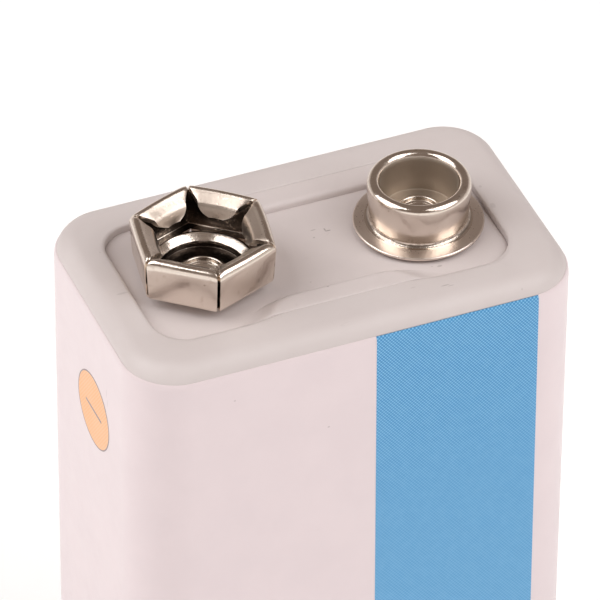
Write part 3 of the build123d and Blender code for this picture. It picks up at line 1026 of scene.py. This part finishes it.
class MaterialLibrary:
    """Builds the finish of each of the record's material slots."""

    def __init__(self) -> None:
        """Builds all the finishes."""
        # The plate's grey is a little lighter than the case's: painted light that lifts the shade on the
        # plate.
        floor, floor_shade = (0.650, 0.585, 0.575), (0.628, 0.563, 0.553)
        floor_dust = replace(DUST, strength=0.35)
        paper, paper_pore = (0.62, 0.66, 0.55), (0.55, 0.58, 0.48)
        foam, foam_pore = (0.10, 0.10, 0.11), (0.04, 0.04, 0.045)
        paper_pores = Specks(0.25, 0.075, 0.8, paper_pore, 0.35)
        foam_pores = Specks(0.4, 0.12, 0.8, foam_pore, 0.35)
        finishes = [
            Plastic("case_plastic", (0.630, 0.572, 0.562), (0.612, 0.552, 0.542), 0.50, marks=RING_MARKS),
            Plastic("plate_plastic", floor, floor_shade, dust=floor_dust, marks=FLOOR_MARKS),
            Nickel("terminal_nickel", shade_and_films=TERMINAL_SHADE_AND_FILMS),
            Nickel("rivet_nickel", roughness=0.2, dent_depth=0.012),
            Nickel("strap_nickel", (0.72, 0.68, 0.62), 0.3),
            Nickel("cell_tab", (0.76, 0.75, 0.73), 0.35),
            Nickel("pouch_foil", (0.72, 0.72, 0.72), 0.38, 0.05),
            Laminate("board_laminate", (0.02, 0.16, 0.06), (0.03, 0.21, 0.08)),
            Plastic("chip_resin", (0.020, 0.020, 0.022), (0.030, 0.030, 0.032), 0.5),
            Plastic("resistor_body", (0.030, 0.030, 0.034), (0.05, 0.05, 0.05), 0.3),
            Plastic("capacitor_body", (0.42, 0.29, 0.17), (0.38, 0.25, 0.14), 0.35),
            Film("tape", (0.78, 0.62, 0.25), (0.74, 0.58, 0.22)),
            Film("sleeve_film", (0.10, 0.26, 0.62), (0.09, 0.23, 0.58)),
            Fibre("insulating_paper", paper, paper_pore, dust=paper_pores, grain=0.25, depth=0.03),
            Fibre("foam", foam, foam_pore, dust=foam_pores, grain=0.4, depth=0.12),
            Film("label_film", (0.732, 0.636, 0.652), (0.752, 0.653, 0.668), marks=LABEL_MARKS),
            Print("blue_print", (0.014, 0.208, 0.505), (0.245, 0.550, 0.78), 0, 0.62, fade=0.12),
            Print("orange_print", (0.86, 0.375, 0.130), (0.88, 0.50, 0.275), 1, 0.40, 0.17),
            Film("grey_print", (0.26, 0.20, 0.205), (0.33, 0.26, 0.27)),
        ]
        self.materials = {finish.name: finish.build() for finish in finishes}
        log.info("finishes: %d", len(self.materials))

    def __getitem__(self, slot: str) -> bpy.types.Material:
        """The finish of a slot."""
        return self.materials[slot]


# Pieces


@dataclass
class Piece:
    """A sub-assembly that stands for CAD nodes."""

    library: MaterialLibrary

    def finish(self, piece: bpy.types.Object, node: str, slot: str) -> None:
        """Gives a piece its finish and its body, and hides the CAD node that it stands for.

        Args:
            piece: The object.
            node: CAD node that it replaces.
            slot: Material slot of the record.
        """
        piece.data.materials.append(self.library[slot])
        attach(piece, "root")
        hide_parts(node)
        log.info("%s: %d faces", piece.name, len(piece.data.polygons))


@dataclass
class Case(Piece):
    """The moulded case with its rounded rim, and the cover that closes it from below."""

    between: int = 16
    wall: float = 0.8
    wall_rows: tuple[float, float] = (20.0, 40.0)
    rim: float = 1.1
    seat: RoundedRectangle = RoundedRectangle(10.44, 5.075, 1.965, SIZES.plate_shift, SIZES.plate_slide)
    seat_rounding: tuple[float, float] = (0.30, 0.15)
    front_slope: tuple[float, float] = (0.50, 0.29)
    slope_start: float = 3.2
    slope_run: float = 2.8
    socket: RoundedRectangle = RoundedRectangle(10.48, 5.38, 3.08)
    skirt_low: float = 42.52
    ceiling: float = 44.0
    post_place: tuple[float, float] = (11.13, 5.98)
    post_radius: float = 0.9
    post_heights: tuple[float, float] = (41.2, 44.02)
    cover_height: float = 1.6
    cover_rounding: float = 0.7
    spigot: RoundedRectangle = RoundedRectangle(12.03, 6.88, 2.15)
    spigot_wall: float = 0.6
    spigot_bevel: float = 0.3
    spigot_top: float = 3.6
    tray_floor: float = 1.2

    def build(self) -> None:
        """Builds the shell and the cover."""
        outside = RoundedRectangle(SIZES.half_length, SIZES.half_width, SIZES.corner).inset(SIZES.film)
        self._shell(outside)
        self._cover(outside)

    def _rings(self, *places: tuple[RoundedRectangle, float]) -> list[np.ndarray]:
        """Rings of outlines, each at its height."""
        return [outline.ring(z, between=self.between) for outline, z in places]

    def _shell(self, outside: RoundedRectangle) -> None:
        """Sweeps one closed section round the case and adds the four posts.

        The section runs up the wall, over the rim, down to the seat and back inside.

        Args:
            outside: Outline of the case under the film.
        """
        rings = self._rings(*((outside, z) for z in (self.cover_height, *self.wall_rows)))
        for turn in np.linspace(0.0, QUARTER, 15):
            edge = outside.inset(self.rim * (1 - math.cos(turn)))
            rings += self._rings((edge, SIZES.height - self.rim * (1 - math.sin(turn))))
        opening, skirt = self.socket.inset(self.wall), self.socket.inset(-self.wall)
        room = outside.inset(self.wall)
        rings += self._seat_edge()
        rings += self._rings((self.seat, SIZES.plate_bottom), (opening, SIZES.plate_bottom))
        rings += self._rings((opening, self.skirt_low), (skirt, self.skirt_low), (skirt, self.ceiling))
        rings += self._rings((room, self.ceiling), (room, self.cover_height))
        shell = Shell().add_loop(np.stack(rings))
        for sides in ((-1, -1), (-1, 1), (1, -1), (1, 1)):
            x, y = (side * place for side, place in zip(sides, self.post_place))
            post = circle(self.post_radius, x, y)
            shell.add_tube(np.stack([post.ring(z, 8) for z in self.post_heights]))
        self.finish(shell.build("case_body"), "case_shell", "case_plastic")

    def _seat_edge(self) -> list[np.ndarray]:
        """Inner edge of the rim, from its flat top down to the seat.

        It is a quarter of an ellipse, wider at the ends than along the sides. Along the front,
        past the shoulder, it eases into a long slope that falls almost to the plate's floor.

        Returns:
            The rings, from the top down.
        """
        foot = self.seat.ring(SIZES.height, between=self.between)
        normal = self.seat.normals(between=self.between)
        slope = eased((np.abs(foot[:, 0]) - self.slope_start) / self.slope_run)
        slope = slope * np.clip(-normal[:, 1], 0.0, 1.0) ** 2
        end, side = self.seat_rounding
        run, fall = self.front_slope
        reach = (end * normal[:, 0] ** 2 + side * normal[:, 1] ** 2) * (1.0 - slope) + run * slope
        rings = []
        for turn in np.linspace(0.0, QUARTER, 9):
            points = foot.copy()
            points[:, :2] += normal * (reach * (1 - math.sin(turn)))[:, None]
            points[:, 2] -= 0.9 * side * (1 - math.cos(turn)) * (1.0 - slope)
            points[:, 2] -= fall * math.sin(turn) ** 1.15 * slope
            rings.append(points)
        return rings

    def _cover(self, outside: RoundedRectangle) -> None:
        """Sweeps the cover's section from the middle of its underside to the middle of its tray.

        Args:
            outside: Outline of the case under the film.
        """
        rings = []
        for turn in np.linspace(0.0, QUARTER, 9):
            edge = outside.inset(self.cover_rounding * (1 - math.sin(turn)))
            rings.append(edge.ring(self.cover_rounding * (1 - math.cos(turn))))
        tray = self.spigot.inset(self.spigot_wall)
        lip = self.spigot.inset(self.spigot_bevel)
        rings += [outside.ring(self.cover_height), self.spigot.ring(self.cover_height)]
        rings += [self.spigot.ring(self.spigot_top - self.spigot_bevel), lip.ring(self.spigot_top)]
        rings += [tray.ring(self.spigot_top), tray.ring(self.tray_floor)]
        self.finish(Shell().add_tube(np.stack(rings)).build("case_cover"), "bottom_cover", "case_plastic")


@dataclass
class TerminalPlate(Piece):
    """The sunk plate with a shoulder along each long side."""

    outline: RoundedRectangle = RoundedRectangle(10.42, 5.06, 1.95, SIZES.plate_shift, SIZES.plate_slide)
    waist: float = 3.62
    bend_start: float = 3.4
    bend_end: tuple[float, float] = (7.2, 5.40)
    bend_slope: float = 0.35
    delay: float = 2.2
    shoulder_height: float = 0.44
    wall: float = 0.05
    wall_run: float = 0.02
    rounding: float = 0.38
    run_out: float = 1.5
    fade_start: float = 2.6
    fade_run: float = 2.6
    edge: float = 0.14
    edge_drops: tuple[float, float] = (0.065, 0.01)
    boss_radius: float = 2.15
    boss_low: float = 44.60
    boss_high: float = 45.17
    drill: tuple[float, float] = (42.0, 46.0)

    def build(self) -> None:
        """Builds the plate from its top face and a flat underside."""
        top = self._top()
        under = top.copy()
        under[..., 2] = SIZES.plate_bottom
        plate = Shell().add_sheet(top, under).build("plate", 60.0)
        self._cut(plate)
        self.finish(plate, "terminal_plate", "plate_plastic")

    def _curve(self, x: np.ndarray) -> np.ndarray:
        """Half the width between the shoulders at each place along the plate.

        It is the waist in the middle. Past the straight run it follows one cubic that starts
        level and ends outside the plate with the bend's slope.

        Args:
            x: Places along the plate.

        Returns:
            Half widths, not yet limited by the plate.
        """
        start, end = np.array([self.bend_start, self.waist]), np.array(self.bend_end)
        chord = float(np.hypot(*(end - start)))
        tangent = np.array([1.0, self.bend_slope]) / math.hypot(1.0, self.bend_slope)
        s = np.linspace(0.0, 1.0, 200)[:, None]
        hermite = (
            (2 * s**3 - 3 * s**2 + 1) * start
            + (s**3 - 2 * s**2 + s) * chord * np.array([1.0, 0.0])
            + (3 * s**2 - 2 * s**3) * end
            + (s**3 - s**2) * chord * tangent
        )
        beyond = self.bend_slope * np.maximum(np.abs(x) - end[0], 0.0)
        return np.interp(np.abs(x), hermite[:, 0], hermite[:, 1]) + beyond

    def _top(self) -> np.ndarray:
        """Lays out the top face as a field of heights over the plate's outline.

        Each column of the grid runs across the plate. Its rows are laid in three runs, the
        front shoulder, the floor and the back shoulder, so that a row follows each shoulder's
        foot. The back shoulder runs on behind the stud by the delay. At the plate's edge the
        height drops a little, as a square.

        Returns:
            Points with shape (places along, places across, 3).
        """
        outline = self.outline
        corner = outline.half_x - outline.radius
        round_end = corner + outline.radius * np.sin(np.linspace(0.0, QUARTER, 40))
        flat = np.concatenate([np.linspace(0.0, 3.0, 10)[:-1], np.linspace(3.0, corner, 70)[:-1]])
        right = np.concatenate([flat, round_end])
        along = np.concatenate([-right[:0:-1], right])[:, None]
        past = np.maximum(np.abs(along) - corner, 0.0)
        half = outline.half_y - outline.radius + np.sqrt(np.maximum(outline.radius**2 - past**2, 0.0))
        x = along + outline.centre_x
        lines = self._curve(x), self._curve(np.abs(x) - self.delay * (x > 0.0))
        feet = [np.minimum(line, half - 0.002) for line in lines]
        dense_foot, dense_edge = np.linspace(0.0, 1.0, 15)[:-1] ** 1.6 * 0.55, np.linspace(0.95, 1.0, 8)
        share = np.concatenate([dense_foot, np.linspace(0.55, 0.93, 5), dense_edge])
        middle = np.sin(np.linspace(-QUARTER, QUARTER, 26))[1:-1]
        front, back = (foot + (half - foot) * share for foot in feet)
        floor = np.where(middle < 0.0, feet[0], feet[1]) * middle
        across = np.concatenate([-front[:, ::-1], floor, back], axis=1)
        y = across + outline.centre_y
        depth = np.clip(outline.depth(x, y), 0.0, self.edge)
        drop = np.where(across > 0.0, self.edge_drops[1], self.edge_drops[0]) * (1.0 - depth / self.edge) ** 2
        z = SIZES.plate_floor + self._rise(x, across, *lines) - drop
        return np.stack([np.broadcast_to(x, y.shape), y, z], axis=-1)

    def _rise(self, x: np.ndarray, across: np.ndarray, front: np.ndarray, back: np.ndarray) -> np.ndarray:
        """Height of the shoulders over the floor.

        Past a shoulder's foot it rises over the wall and then along a quarter of an ellipse.
        Towards the plate's ends the wall fades, and the ellipse grows longer and turns into
        a cubic that starts level.

        Args:
            x: Places along the plate, as a column.
            across: Distances from the plate's middle line.
            front: Half width between the shoulders at each place, for the front one.
            back: The same for the back one.

        Returns:
            Heights, in the shape of across.
        """
        behind = across > 0.0
        slopes = [np.gradient(line[:, 0], x[:, 0])[:, None] for line in (back, front)]
        inside = np.maximum(np.abs(across) - np.where(behind, back, front), 0.0)
        inside = inside / np.hypot(1.0, np.where(behind, *slopes))
        end = eased((np.abs(x) - self.delay * ((x > 0.0) & behind) - self.fade_start) / self.fade_run)
        wall = self.wall * (1.0 - end)
        part = np.clip(1.0 - inside / (self.rounding + self.run_out * end), 0.0, 1.0)
        hard = np.sqrt(1.0 - part**2)
        soft = (1.0 - part) ** 2 * (1.0 + 2.0 * part)
        curve = (hard + (soft - hard) * end) * (self.shoulder_height - wall)
        return np.where(inside > 0.0, np.clip(inside / self.wall_run, 0.0, 1.0) * wall + curve, 0.0)

    def _cut(self, plate: bpy.types.Object) -> None:
        """Cuts the two rivet holes and adds the boss inside the stud.

        Args:
            plate: The plate.
        """
        cutter = Shell()
        for x in (LEFT, RIGHT):
            hole = circle(SIZES.rivet_clear, x)
            cutter.add_tube(np.stack([hole.ring(z, 12) for z in self.drill]))
        tool = cutter.build("plate_holes")
        cut = plate.modifiers.new("holes", "BOOLEAN")
        cut.operation, cut.object, cut.solver = "DIFFERENCE", tool, "EXACT"
        depsgraph = bpy.context.evaluated_depsgraph_get()
        result = bpy.data.meshes.new_from_object(plate.evaluated_get(depsgraph))
        plate.modifiers.clear()
        plate.data = result
        bpy.data.objects.remove(tool)
        inner, outer = SIZES.rivet_clear, self.boss_radius
        low, high = self.boss_low, self.boss_high
        boss = Profile(joined((inner, low), (outer, low), (outer, high), (inner, high)))
        extra = Shell().add_loop(boss.revolved(RIGHT, 64)).build("plate_boss")
        with bpy.context.temp_override(active_object=plate, selected_editable_objects=[plate, extra]):
            bpy.ops.object.join()


@dataclass
class PositiveTerminal(Piece):
    """The drawn stud with its rolled rim and foot flange."""

    head: float = 2.86
    neck: float = 2.69
    bore: float = 2.12
    foot: float = 3.62
    top: float = 3.11
    lift: float = 0.16
    floor_low: float = 0.45
    floor_high: float = 0.70

    def build(self) -> None:
        """Turns the stud's section about its axis. Its heights count from the plate's floor."""
        upper = self.lift + SIZES.sheet
        section = joined(
            (self.bore, 0.0),
            (self.neck - 0.10, 0.0),
            (self.neck + 0.25, self.lift),
            (self.foot - 0.12, self.lift),
            arc((self.foot - 0.11, self.lift + 0.11), (0.11, 0.10), -80, 80),
            (self.neck + 0.66, upper - 0.01),
            (self.neck + 0.36, upper + 0.05),
            arc((self.neck + 0.30, upper + 0.32), (0.28, 0.26), 258, 184),
            (self.neck + 0.03, self.lift + 0.62),
            (self.head, 2.30),
            arc((self.head - 0.36, self.top - 0.36), (0.36, 0.36), 0, 86),
            arc((self.bore + 0.33, self.top - 0.48), (0.33, 0.48), 94, 180),
            (self.bore, self.floor_high),
            (SIZES.rivet_clear, self.floor_high),
            (SIZES.rivet_clear, self.floor_low),
            (self.bore, self.floor_low),
        )
        section[:, 1] += SIZES.plate_floor
        grid = Profile(section).softened(0.10).thinned().revolved(RIGHT)
        self.finish(Shell().add_loop(grid).build("stud", 60.0), "positive_stud", "terminal_nickel")


@dataclass
class Rivets(Piece):
    """The two hollow rivets with rolled heads."""

    hole: float = 0.55
    shank: float = 0.90
    head: float = 1.45
    height: float = 0.25
    low: float = 42.87

    def build(self) -> None:
        """Turns one section for each rivet, from its head down to its foot under the strap."""
        low = self.low
        rises = {"negative": SIZES.sheet, "positive": PositiveTerminal.floor_high}
        for (name, rise), x in zip(rises.items(), (LEFT, RIGHT)):
            seat = SIZES.plate_floor + rise
            section = joined(
                (self.shank, seat),
                (self.head, seat),
                (self.head, seat + 0.05),
                (1.32, seat + 0.11),
                arc((1.21, seat + 0.14), (0.10, self.height - 0.14), 10, 165),
                (1.07, seat + 0.04),
                (0.80, seat - 0.05),
                (self.hole + 0.08, seat - 0.10),
                (self.hole, seat - 0.20),
                (self.hole, low),
                (self.head, low),
                (self.head, low + self.height),
                (self.shank, low + self.height),
            )
            grid = Profile(section).softened(0.06).thinned().revolved(x, 96)
            piece = Shell().add_loop(grid).build(name + "_eyelet", 60.0)
            self.finish(piece, name + "_rivet", "rivet_nickel")


@dataclass
class NegativeTerminal(Piece):
    """The hexagonal snap: a drawn dish and six arms that are bent up, rolled over and turned in."""

    apothem: float = 3.50
    height: float = 3.40
    roll: float = 0.38
    bend: float = 0.30
    skirt: float = 0.60
    crown: float = 0.15
    slit: float = 0.17
    flare: float = 0.16
    bow: float = 0.07
    tongue: float = 0.80
    lip: float = 3.06
    leaf: float = 3.26
    leaf_line: tuple[Triple, ...] = (
        *((2.94, 0.15, 0.0), (2.75, 0.34, 0.0), (2.57, 0.52, 0.0)),
        *((2.50, 0.52, 0.10), (2.44, 0.52, 0.24), (2.39, 0.52, 0.38)),
    )
    falls: tuple[float, ...] = (0.76, 0.74, 0.56, 0.72, 0.72, 0.58)
    slit_opening: float = 0.50
    tongue_taper: float = 0.90
    taper_start: float = 0.25
    dip: float = 0.09
    jitter: Triple = (0.02, 0.015, 0.02)
    sag: float = 0.015
    seed: int = 9
    worn_edge: float = 0.035

    def _section(self, fall: float) -> np.ndarray:
        """Middle line of an arm's sheet, from the rim of the dish to the free end of its tongue.

        A row of the leaf's line holds a distance out, a factor on the fall and a further drop.

        Args:
            fall: Slope of the turned-in leaf.

        Returns:
            Rows of distance out and height.
        """
        half = SIZES.sheet / 2
        low, inner = self.skirt + half, self.roll - half
        shoulder = self.height - self.roll - self.crown
        turned = self.bend - half
        line = joined(
            (2.80, low),
            arc((self.apothem - self.bend, low + turned), (turned, turned), -90, 0),
            arc((self.apothem - self.roll, shoulder), (inner, inner + self.crown), 0, 104),
            [(out, self.leaf - share * fall - drop) for out, share, drop in self.leaf_line],
            (2.32, self.lip - self.tongue),
        )
        return Profile(line, closed=False).softened(0.06).thinned(0.16, math.radians(7)).points

    def _arm(self, index: int, jitter: np.ndarray) -> tuple[np.ndarray, np.ndarray]:
        """Both faces of one arm.

        The section's normal gives the two faces, half a sheet each side. Across the arm the
        width follows the sides of the hexagon less half a slit. The slit is a groove that is
        nearly closed inside, it opens along the turned-in leaf, and the tongue narrows along
        an ellipse. The wall leans out with height and bows as the square of the place across,
        and the rolled edge dips near its ends as the twelfth power.

        Args:
            index: Which arm, counted round the snap.
            jitter: Small changes of height, lean and bow for this arm.

        Returns:
            The outer and the inner face.
        """
        line = self._section(self.falls[index])
        along = np.gradient(line, axis=0)
        along /= np.hypot(*along.T)[:, None]
        normal = np.column_stack([along[:, 1], -along[:, 0]])
        share = np.linspace(0.0, 1.0, len(line))
        across = np.sin(np.linspace(-QUARTER, QUARTER, 41))
        raised = np.clip((line[:, 1:] - self.skirt) / (self.height - self.skirt), 0.0, 1.0)
        lean = (self.flare + jitter[1]) * raised + (self.bow + jitter[2]) * raised * (1.0 - across**2)
        dip = self.dip * np.clip((raised - 0.8) / 0.2, 0.0, 1.0) * np.abs(across) ** 12
        lift = jitter[0] * raised**2 - dip
        tip = (self.lip - self.taper_start - line[:, 1]) / (self.tongue - self.taper_start)
        tip = np.clip(tip, 0.0, 1.0) * (share > 0.7)
        width = math.tan(math.pi / 6) * np.sqrt(1.0 - (self.tongue_taper * tip) ** 2)
        turned_in = np.clip((3.10 - line[:, 0]) / 0.10, 0.0, 1.0) * (share > 0.5)
        angle = math.radians(SIZES.hexagon_turn + 60 * index)
        faces = []
        for side, slit in ((1.0, self.slit), (-1.0, self.slit * turned_in - 0.01)):
            out, height = (line + normal * side * SIZES.sheet / 2).T
            slit = slit + self.slit_opening * np.clip((3.05 - out) / 0.45, 0.0, 1.0) * (share > 0.5)
            half = (out + self.flare * raised[:, 0] - slit) * width
            local_x, local_y = out[:, None] + lean, half[:, None] * across
            x = local_x * math.cos(angle) - local_y * math.sin(angle) + LEFT
            y = local_x * math.sin(angle) + local_y * math.cos(angle)
            faces.append(np.stack([x, y, height[:, None] + lift + SIZES.plate_floor], axis=-1))
        return faces[0], faces[1]

    def build(self) -> None:
        """Builds the dish and the six arms as one piece of sheet."""
        sheet = SIZES.sheet
        dish = joined(
            (SIZES.rivet_clear, 0.0),
            (2.62, 0.0),
            (2.62, 0.44),
            (3.0, self.skirt),
            (3.0, self.skirt + sheet + 0.01),
            (2.84, self.skirt + sheet + 0.05),
            (2.40, 0.60),
            (2.36, 0.50),
            (2.36, sheet),
            (SIZES.rivet_clear, sheet),
        )
        dish[:, 1] += SIZES.plate_floor
        shell = Shell().add_loop(Profile(dish).softened(0.16).thinned().revolved(LEFT, 144))
        rng = np.random.default_rng(self.seed)
        for index in range(len(self.falls)):
            jitter = rng.uniform(-1.0, 1.0, 3) * self.jitter - (self.sag, 0.0, 0.0)
            shell.add_sheet(*self._arm(index, jitter))
        snap = shell.build("snap", 50.0)
        bevel = snap.modifiers.new("worn_edges", "BEVEL")
        bevel.width, bevel.segments, bevel.limit_method = self.worn_edge * MM, 2, "ANGLE"
        bevel.angle_limit = math.radians(50)
        self.finish(snap, "negative_snap", "terminal_nickel")


EDGE_HEIGHTS = (43.92, 44.12, 44.25, SIZES.film_high)
MIDDLE_HEIGHT = 20.0


@dataclass
class Label(Piece):
    """The printed film with its blue band and the polarity disc."""

    proud: float = 0.012
    edge_inset: float = 0.075
    ink_depth: float = 0.04
    band_left: float = 0.61
    band_width: float = 9.52
    band_shift: float = 0.305
    disc_y: float = -0.55
    disc_z: float = 37.80
    disc_radius: float = 2.33
    disc_step: float = 0.004
    outline: float = 0.08
    bar_length: float = 2.34
    bar_height: float = 0.16

    def build(self) -> None:
        """Builds the film and lays each print on it, a hundredth of a millimetre proud."""
        outside = RoundedRectangle(SIZES.half_length, SIZES.half_width, SIZES.corner)
        face, back = outside.inset(self.proud), outside.inset(SIZES.film)
        heights = (SIZES.film_low, MIDDLE_HEIGHT, *EDGE_HEIGHTS)
        rings = [face.inset(self._turned_in(z)).ring(z) for z in heights]
        rings += [back.inset(self.edge_inset).ring(SIZES.film_high)]
        rings += [back.ring(EDGE_HEIGHTS[0]), back.ring(SIZES.film_low)]
        self.finish(Shell().add_loop(np.stack(rings)).build("film"), "label_wrap", "label_film")
        self._band()
        self._disc()

    @staticmethod
    def _turned_in(z: float | np.ndarray) -> np.ndarray:
        """How far the film follows the rounded rim inwards at a height."""
        return np.interp(z, EDGE_HEIGHTS, (0.0, 0.018, 0.055, 0.110))

    def _band(self) -> None:
        """Lays the blue band on the front: flat, then round the corner as a circle of the film's radius."""
        share = np.concatenate([np.linspace(0.0, 0.95, 12), np.linspace(0.955, 1.0, 14)])
        z = np.array([SIZES.film_low + 0.01, MIDDLE_HEIGHT, *EDGE_HEIGHTS])[:, None]
        lean = (SIZES.film_high - z) / (SIZES.film_high - SIZES.film_low) * self.band_shift
        x = self.band_left + lean + self.band_width * share
        over = np.maximum(x - (SIZES.half_length - SIZES.corner), 0.0)
        faces = []
        for inset in (0.0, self.ink_depth):
            bulge = np.sqrt((SIZES.corner - inset) ** 2 - over**2)
            y = -(SIZES.half_width - SIZES.corner) - bulge + self._turned_in(z)
            faces.append(np.stack([x, y, np.broadcast_to(z, x.shape)], axis=-1))
        self.finish(Shell().add_sheet(*faces).build("blue_band"), "label_blue_band", "blue_print")

    def _side(self, points: np.ndarray, depth: float) -> np.ndarray:
        """Stands points of a flat drawing on the left side of the film.

        Args:
            points: Rows of distance along the width and height from the disc's middle.
            depth: Depth of the face under the film's outer side.

        Returns:
            Points with shape (points, 3).
        """
        y = self.disc_y - points[:, 0]
        x = np.full(len(points), depth - SIZES.half_length)
        return np.column_stack([x, y, points[:, 1] + self.disc_z])

    def _disc(self) -> None:
        """Lays the disc, and over it the thin ring and the minus bar."""
        deep = self.ink_depth
        turn = np.linspace(0.0, 2 * math.pi, 96, endpoint=False)
        circle_points = np.column_stack([np.cos(turn), np.sin(turn)])
        outer = circle_points * self.disc_radius
        inner = circle_points * (self.disc_radius - self.outline)
        disc = Shell().add_tube(np.stack([self._side(inner, self.disc_step), self._side(inner, deep)]))
        self.finish(disc.build("polarity_disc"), "label_polarity_disc", "orange_print")
        loop = [self._side(*ring) for ring in ((outer, deep), (outer, 0.0), (inner, 0.0), (inner, deep))]
        bar = np.array([(-1, -1), (1, -1), (1, 1), (-1, 1)]) * (self.bar_length / 2, self.bar_height / 2)
        sign = Shell().add_loop(np.stack(loop))
        sign.add_tube(np.stack([self._side(bar, deep), self._side(bar, 0.0)]))
        self.finish(sign.build("polarity_sign"), "label_polarity_sign", "grey_print")


@dataclass
class InsideParts:
    """The parts inside the case, carried over from the CAD with a finish each."""

    library: MaterialLibrary

    def build(self) -> None:
        """Gives each carried-over node the finish of its slot, found by a word in its name."""
        slots = {
            "strap": "strap_nickel",
            "series_link": "strap_nickel",
            "board": "board_laminate",
            "chip": "chip_resin",
            "resistor": "resistor_body",
            "capacitor": "capacitor_body",
            "adhesive": "tape",
            "insulator": "insulating_paper",
            "foam": "foam",
            "sleeve": "sleeve_film",
            "tab": "cell_tab",
            "cell": "pouch_foil",
        }
        shown = 0
        for name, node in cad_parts.items():
            slot = next((slots[key] for key in slots if key in name), None)
            if slot is None:
                continue
            node.data.materials.clear()
            node.data.materials.append(self.library[slot])
            shown += 1
        log.info("carried over: %d nodes", shown)


# Studio


@dataclass(frozen=True)
class SoftBox:
    """A rectangular lamp that faces the battery's top, with its place and size in metres."""

    name: str
    place: Triple
    size: tuple[float, float]
    power: float

    def build(self) -> None:
        """Adds the lamp."""
        lamp = bpy.data.lights.new(self.name, "AREA")
        lamp.shape, lamp.energy = "RECTANGLE", self.power
        lamp.size, lamp.size_y = self.size
        holder = bpy.data.objects.new(self.name, lamp)
        aim = Vector((0.0, 0.0, SIZES.height * MM)) - Vector(self.place)
        turn = aim.to_track_quat("-Z", "Y").to_matrix().to_4x4()
        holder.matrix_world = Matrix.Translation(self.place) @ turn
        bpy.context.scene.collection.objects.link(holder)


@dataclass(frozen=True)
class Studio:
    """White floor, dim warm room, three soft boxes and the camera."""

    azimuth: float = 22.546
    elevation: float = 39.266
    roll: float = 0.443
    focal: float = 7025.467
    distance: float = 382.618
    centre: tuple[float, float] = (311.206, 242.997)
    picture: float = 600.0
    floor_reach: float = 6.0
    room_low: Colour = (0.78, 0.72, 0.69)
    room_high: Colour = (0.215, 0.172, 0.148)
    boxes: tuple[SoftBox, ...] = (
        SoftBox("left_box", (-0.340, 0.090, 0.390), (0.42, 0.48), 1.90),
        SoftBox("right_box", (0.250, -0.250, 0.420), (0.38, 0.44), 1.68),
        SoftBox("front_box", (-0.170, -0.440, 0.075), (0.70, 0.09), 0.14),
    )

    def build(self) -> None:
        """Sets up everything round the battery."""
        self._room()
        self._floor()
        for box in self.boxes:
            box.build()
        self._camera()
        bpy.context.scene.view_settings.view_transform = "Standard"
        log.info("studio ready")

    def _room(self) -> None:
        """Fills the surroundings with a dim warm grey that is lighter low down."""
        world = bpy.data.worlds.new("room")
        world.use_nodes = True
        nodes = NodeTree(world.node_tree)
        world.node_tree.nodes.clear()
        place = nodes.add("ShaderNodeTexCoord").outputs["Generated"]
        high = nodes.remap(nodes.axes(place)[2], 0.10, 0.42)
        colour = nodes.mix(high, self.room_low, self.room_high)
        back = nodes.add("ShaderNodeBackground", {"Color": colour, "Strength": 1.0})
        nodes.add("ShaderNodeOutputWorld", {"Surface": back.outputs[0]})
        bpy.context.scene.world = world

    def _floor(self) -> None:
        """Lays the white floor."""
        mesh = bpy.data.meshes.new("floor")
        reach = self.floor_reach
        corners = [(-reach, -reach, 0.0), (reach, -reach, 0.0), (reach, reach, 0.0), (-reach, reach, 0.0)]
        mesh.from_pydata(corners, [], [(0, 1, 2, 3)])
        floor = bpy.data.objects.new("floor", mesh)
        bpy.context.scene.collection.objects.link(floor)
        glow = {"Emission_Color": (1.0, 1.0, 1.0), "Emission_Strength": 0.30}
        floor.data.materials.append(Look("floor_paper", (0.80, 0.80, 0.80)).done(Roughness=0.9, **glow))

    def _camera(self) -> None:
        """Places the camera from its angles, its distance and the picture's centre."""
        az, el, roll = (math.radians(a) for a in (self.azimuth, self.elevation, self.roll))
        back = Vector((-math.sin(az) * math.cos(el), -math.cos(az) * math.cos(el), math.sin(el)))
        right = Vector((math.cos(az), -math.sin(az), 0.0))
        up = back.cross(right)
        across = right * math.cos(roll) + up * math.sin(roll)
        upright = up * math.cos(roll) - right * math.sin(roll)
        middle = self.picture / 2
        shift_x = (self.centre[0] - middle) * self.distance / self.focal
        shift_y = (middle - self.centre[1]) * self.distance / self.focal
        place = Vector((0.0, 0.0, SIZES.height)) + back * self.distance - across * shift_x - upright * shift_y
        data = bpy.data.cameras.new("camera")
        data.sensor_width = 36.0
        data.lens = self.focal / self.picture * data.sensor_width
        data.clip_start, data.clip_end = 0.01, 50.0
        camera = bpy.data.objects.new("camera", data)
        columns = Matrix((across, upright, back)).transposed().to_4x4()
        camera.matrix_world = Matrix.Translation(place * MM) @ columns
        bpy.context.scene.collection.objects.link(camera)
        bpy.context.scene.camera = camera


def main() -> None:
    """Builds the finishes, the pieces and the studio in order."""
    logging.basicConfig(level=logging.INFO, format="%(name)s: %(message)s")
    library = MaterialLibrary()
    for kind in (Case, TerminalPlate, PositiveTerminal, NegativeTerminal, Rivets, Label, InsideParts):
        kind(library).build()
    Studio().build()


if __name__ == "__main__":
    main()
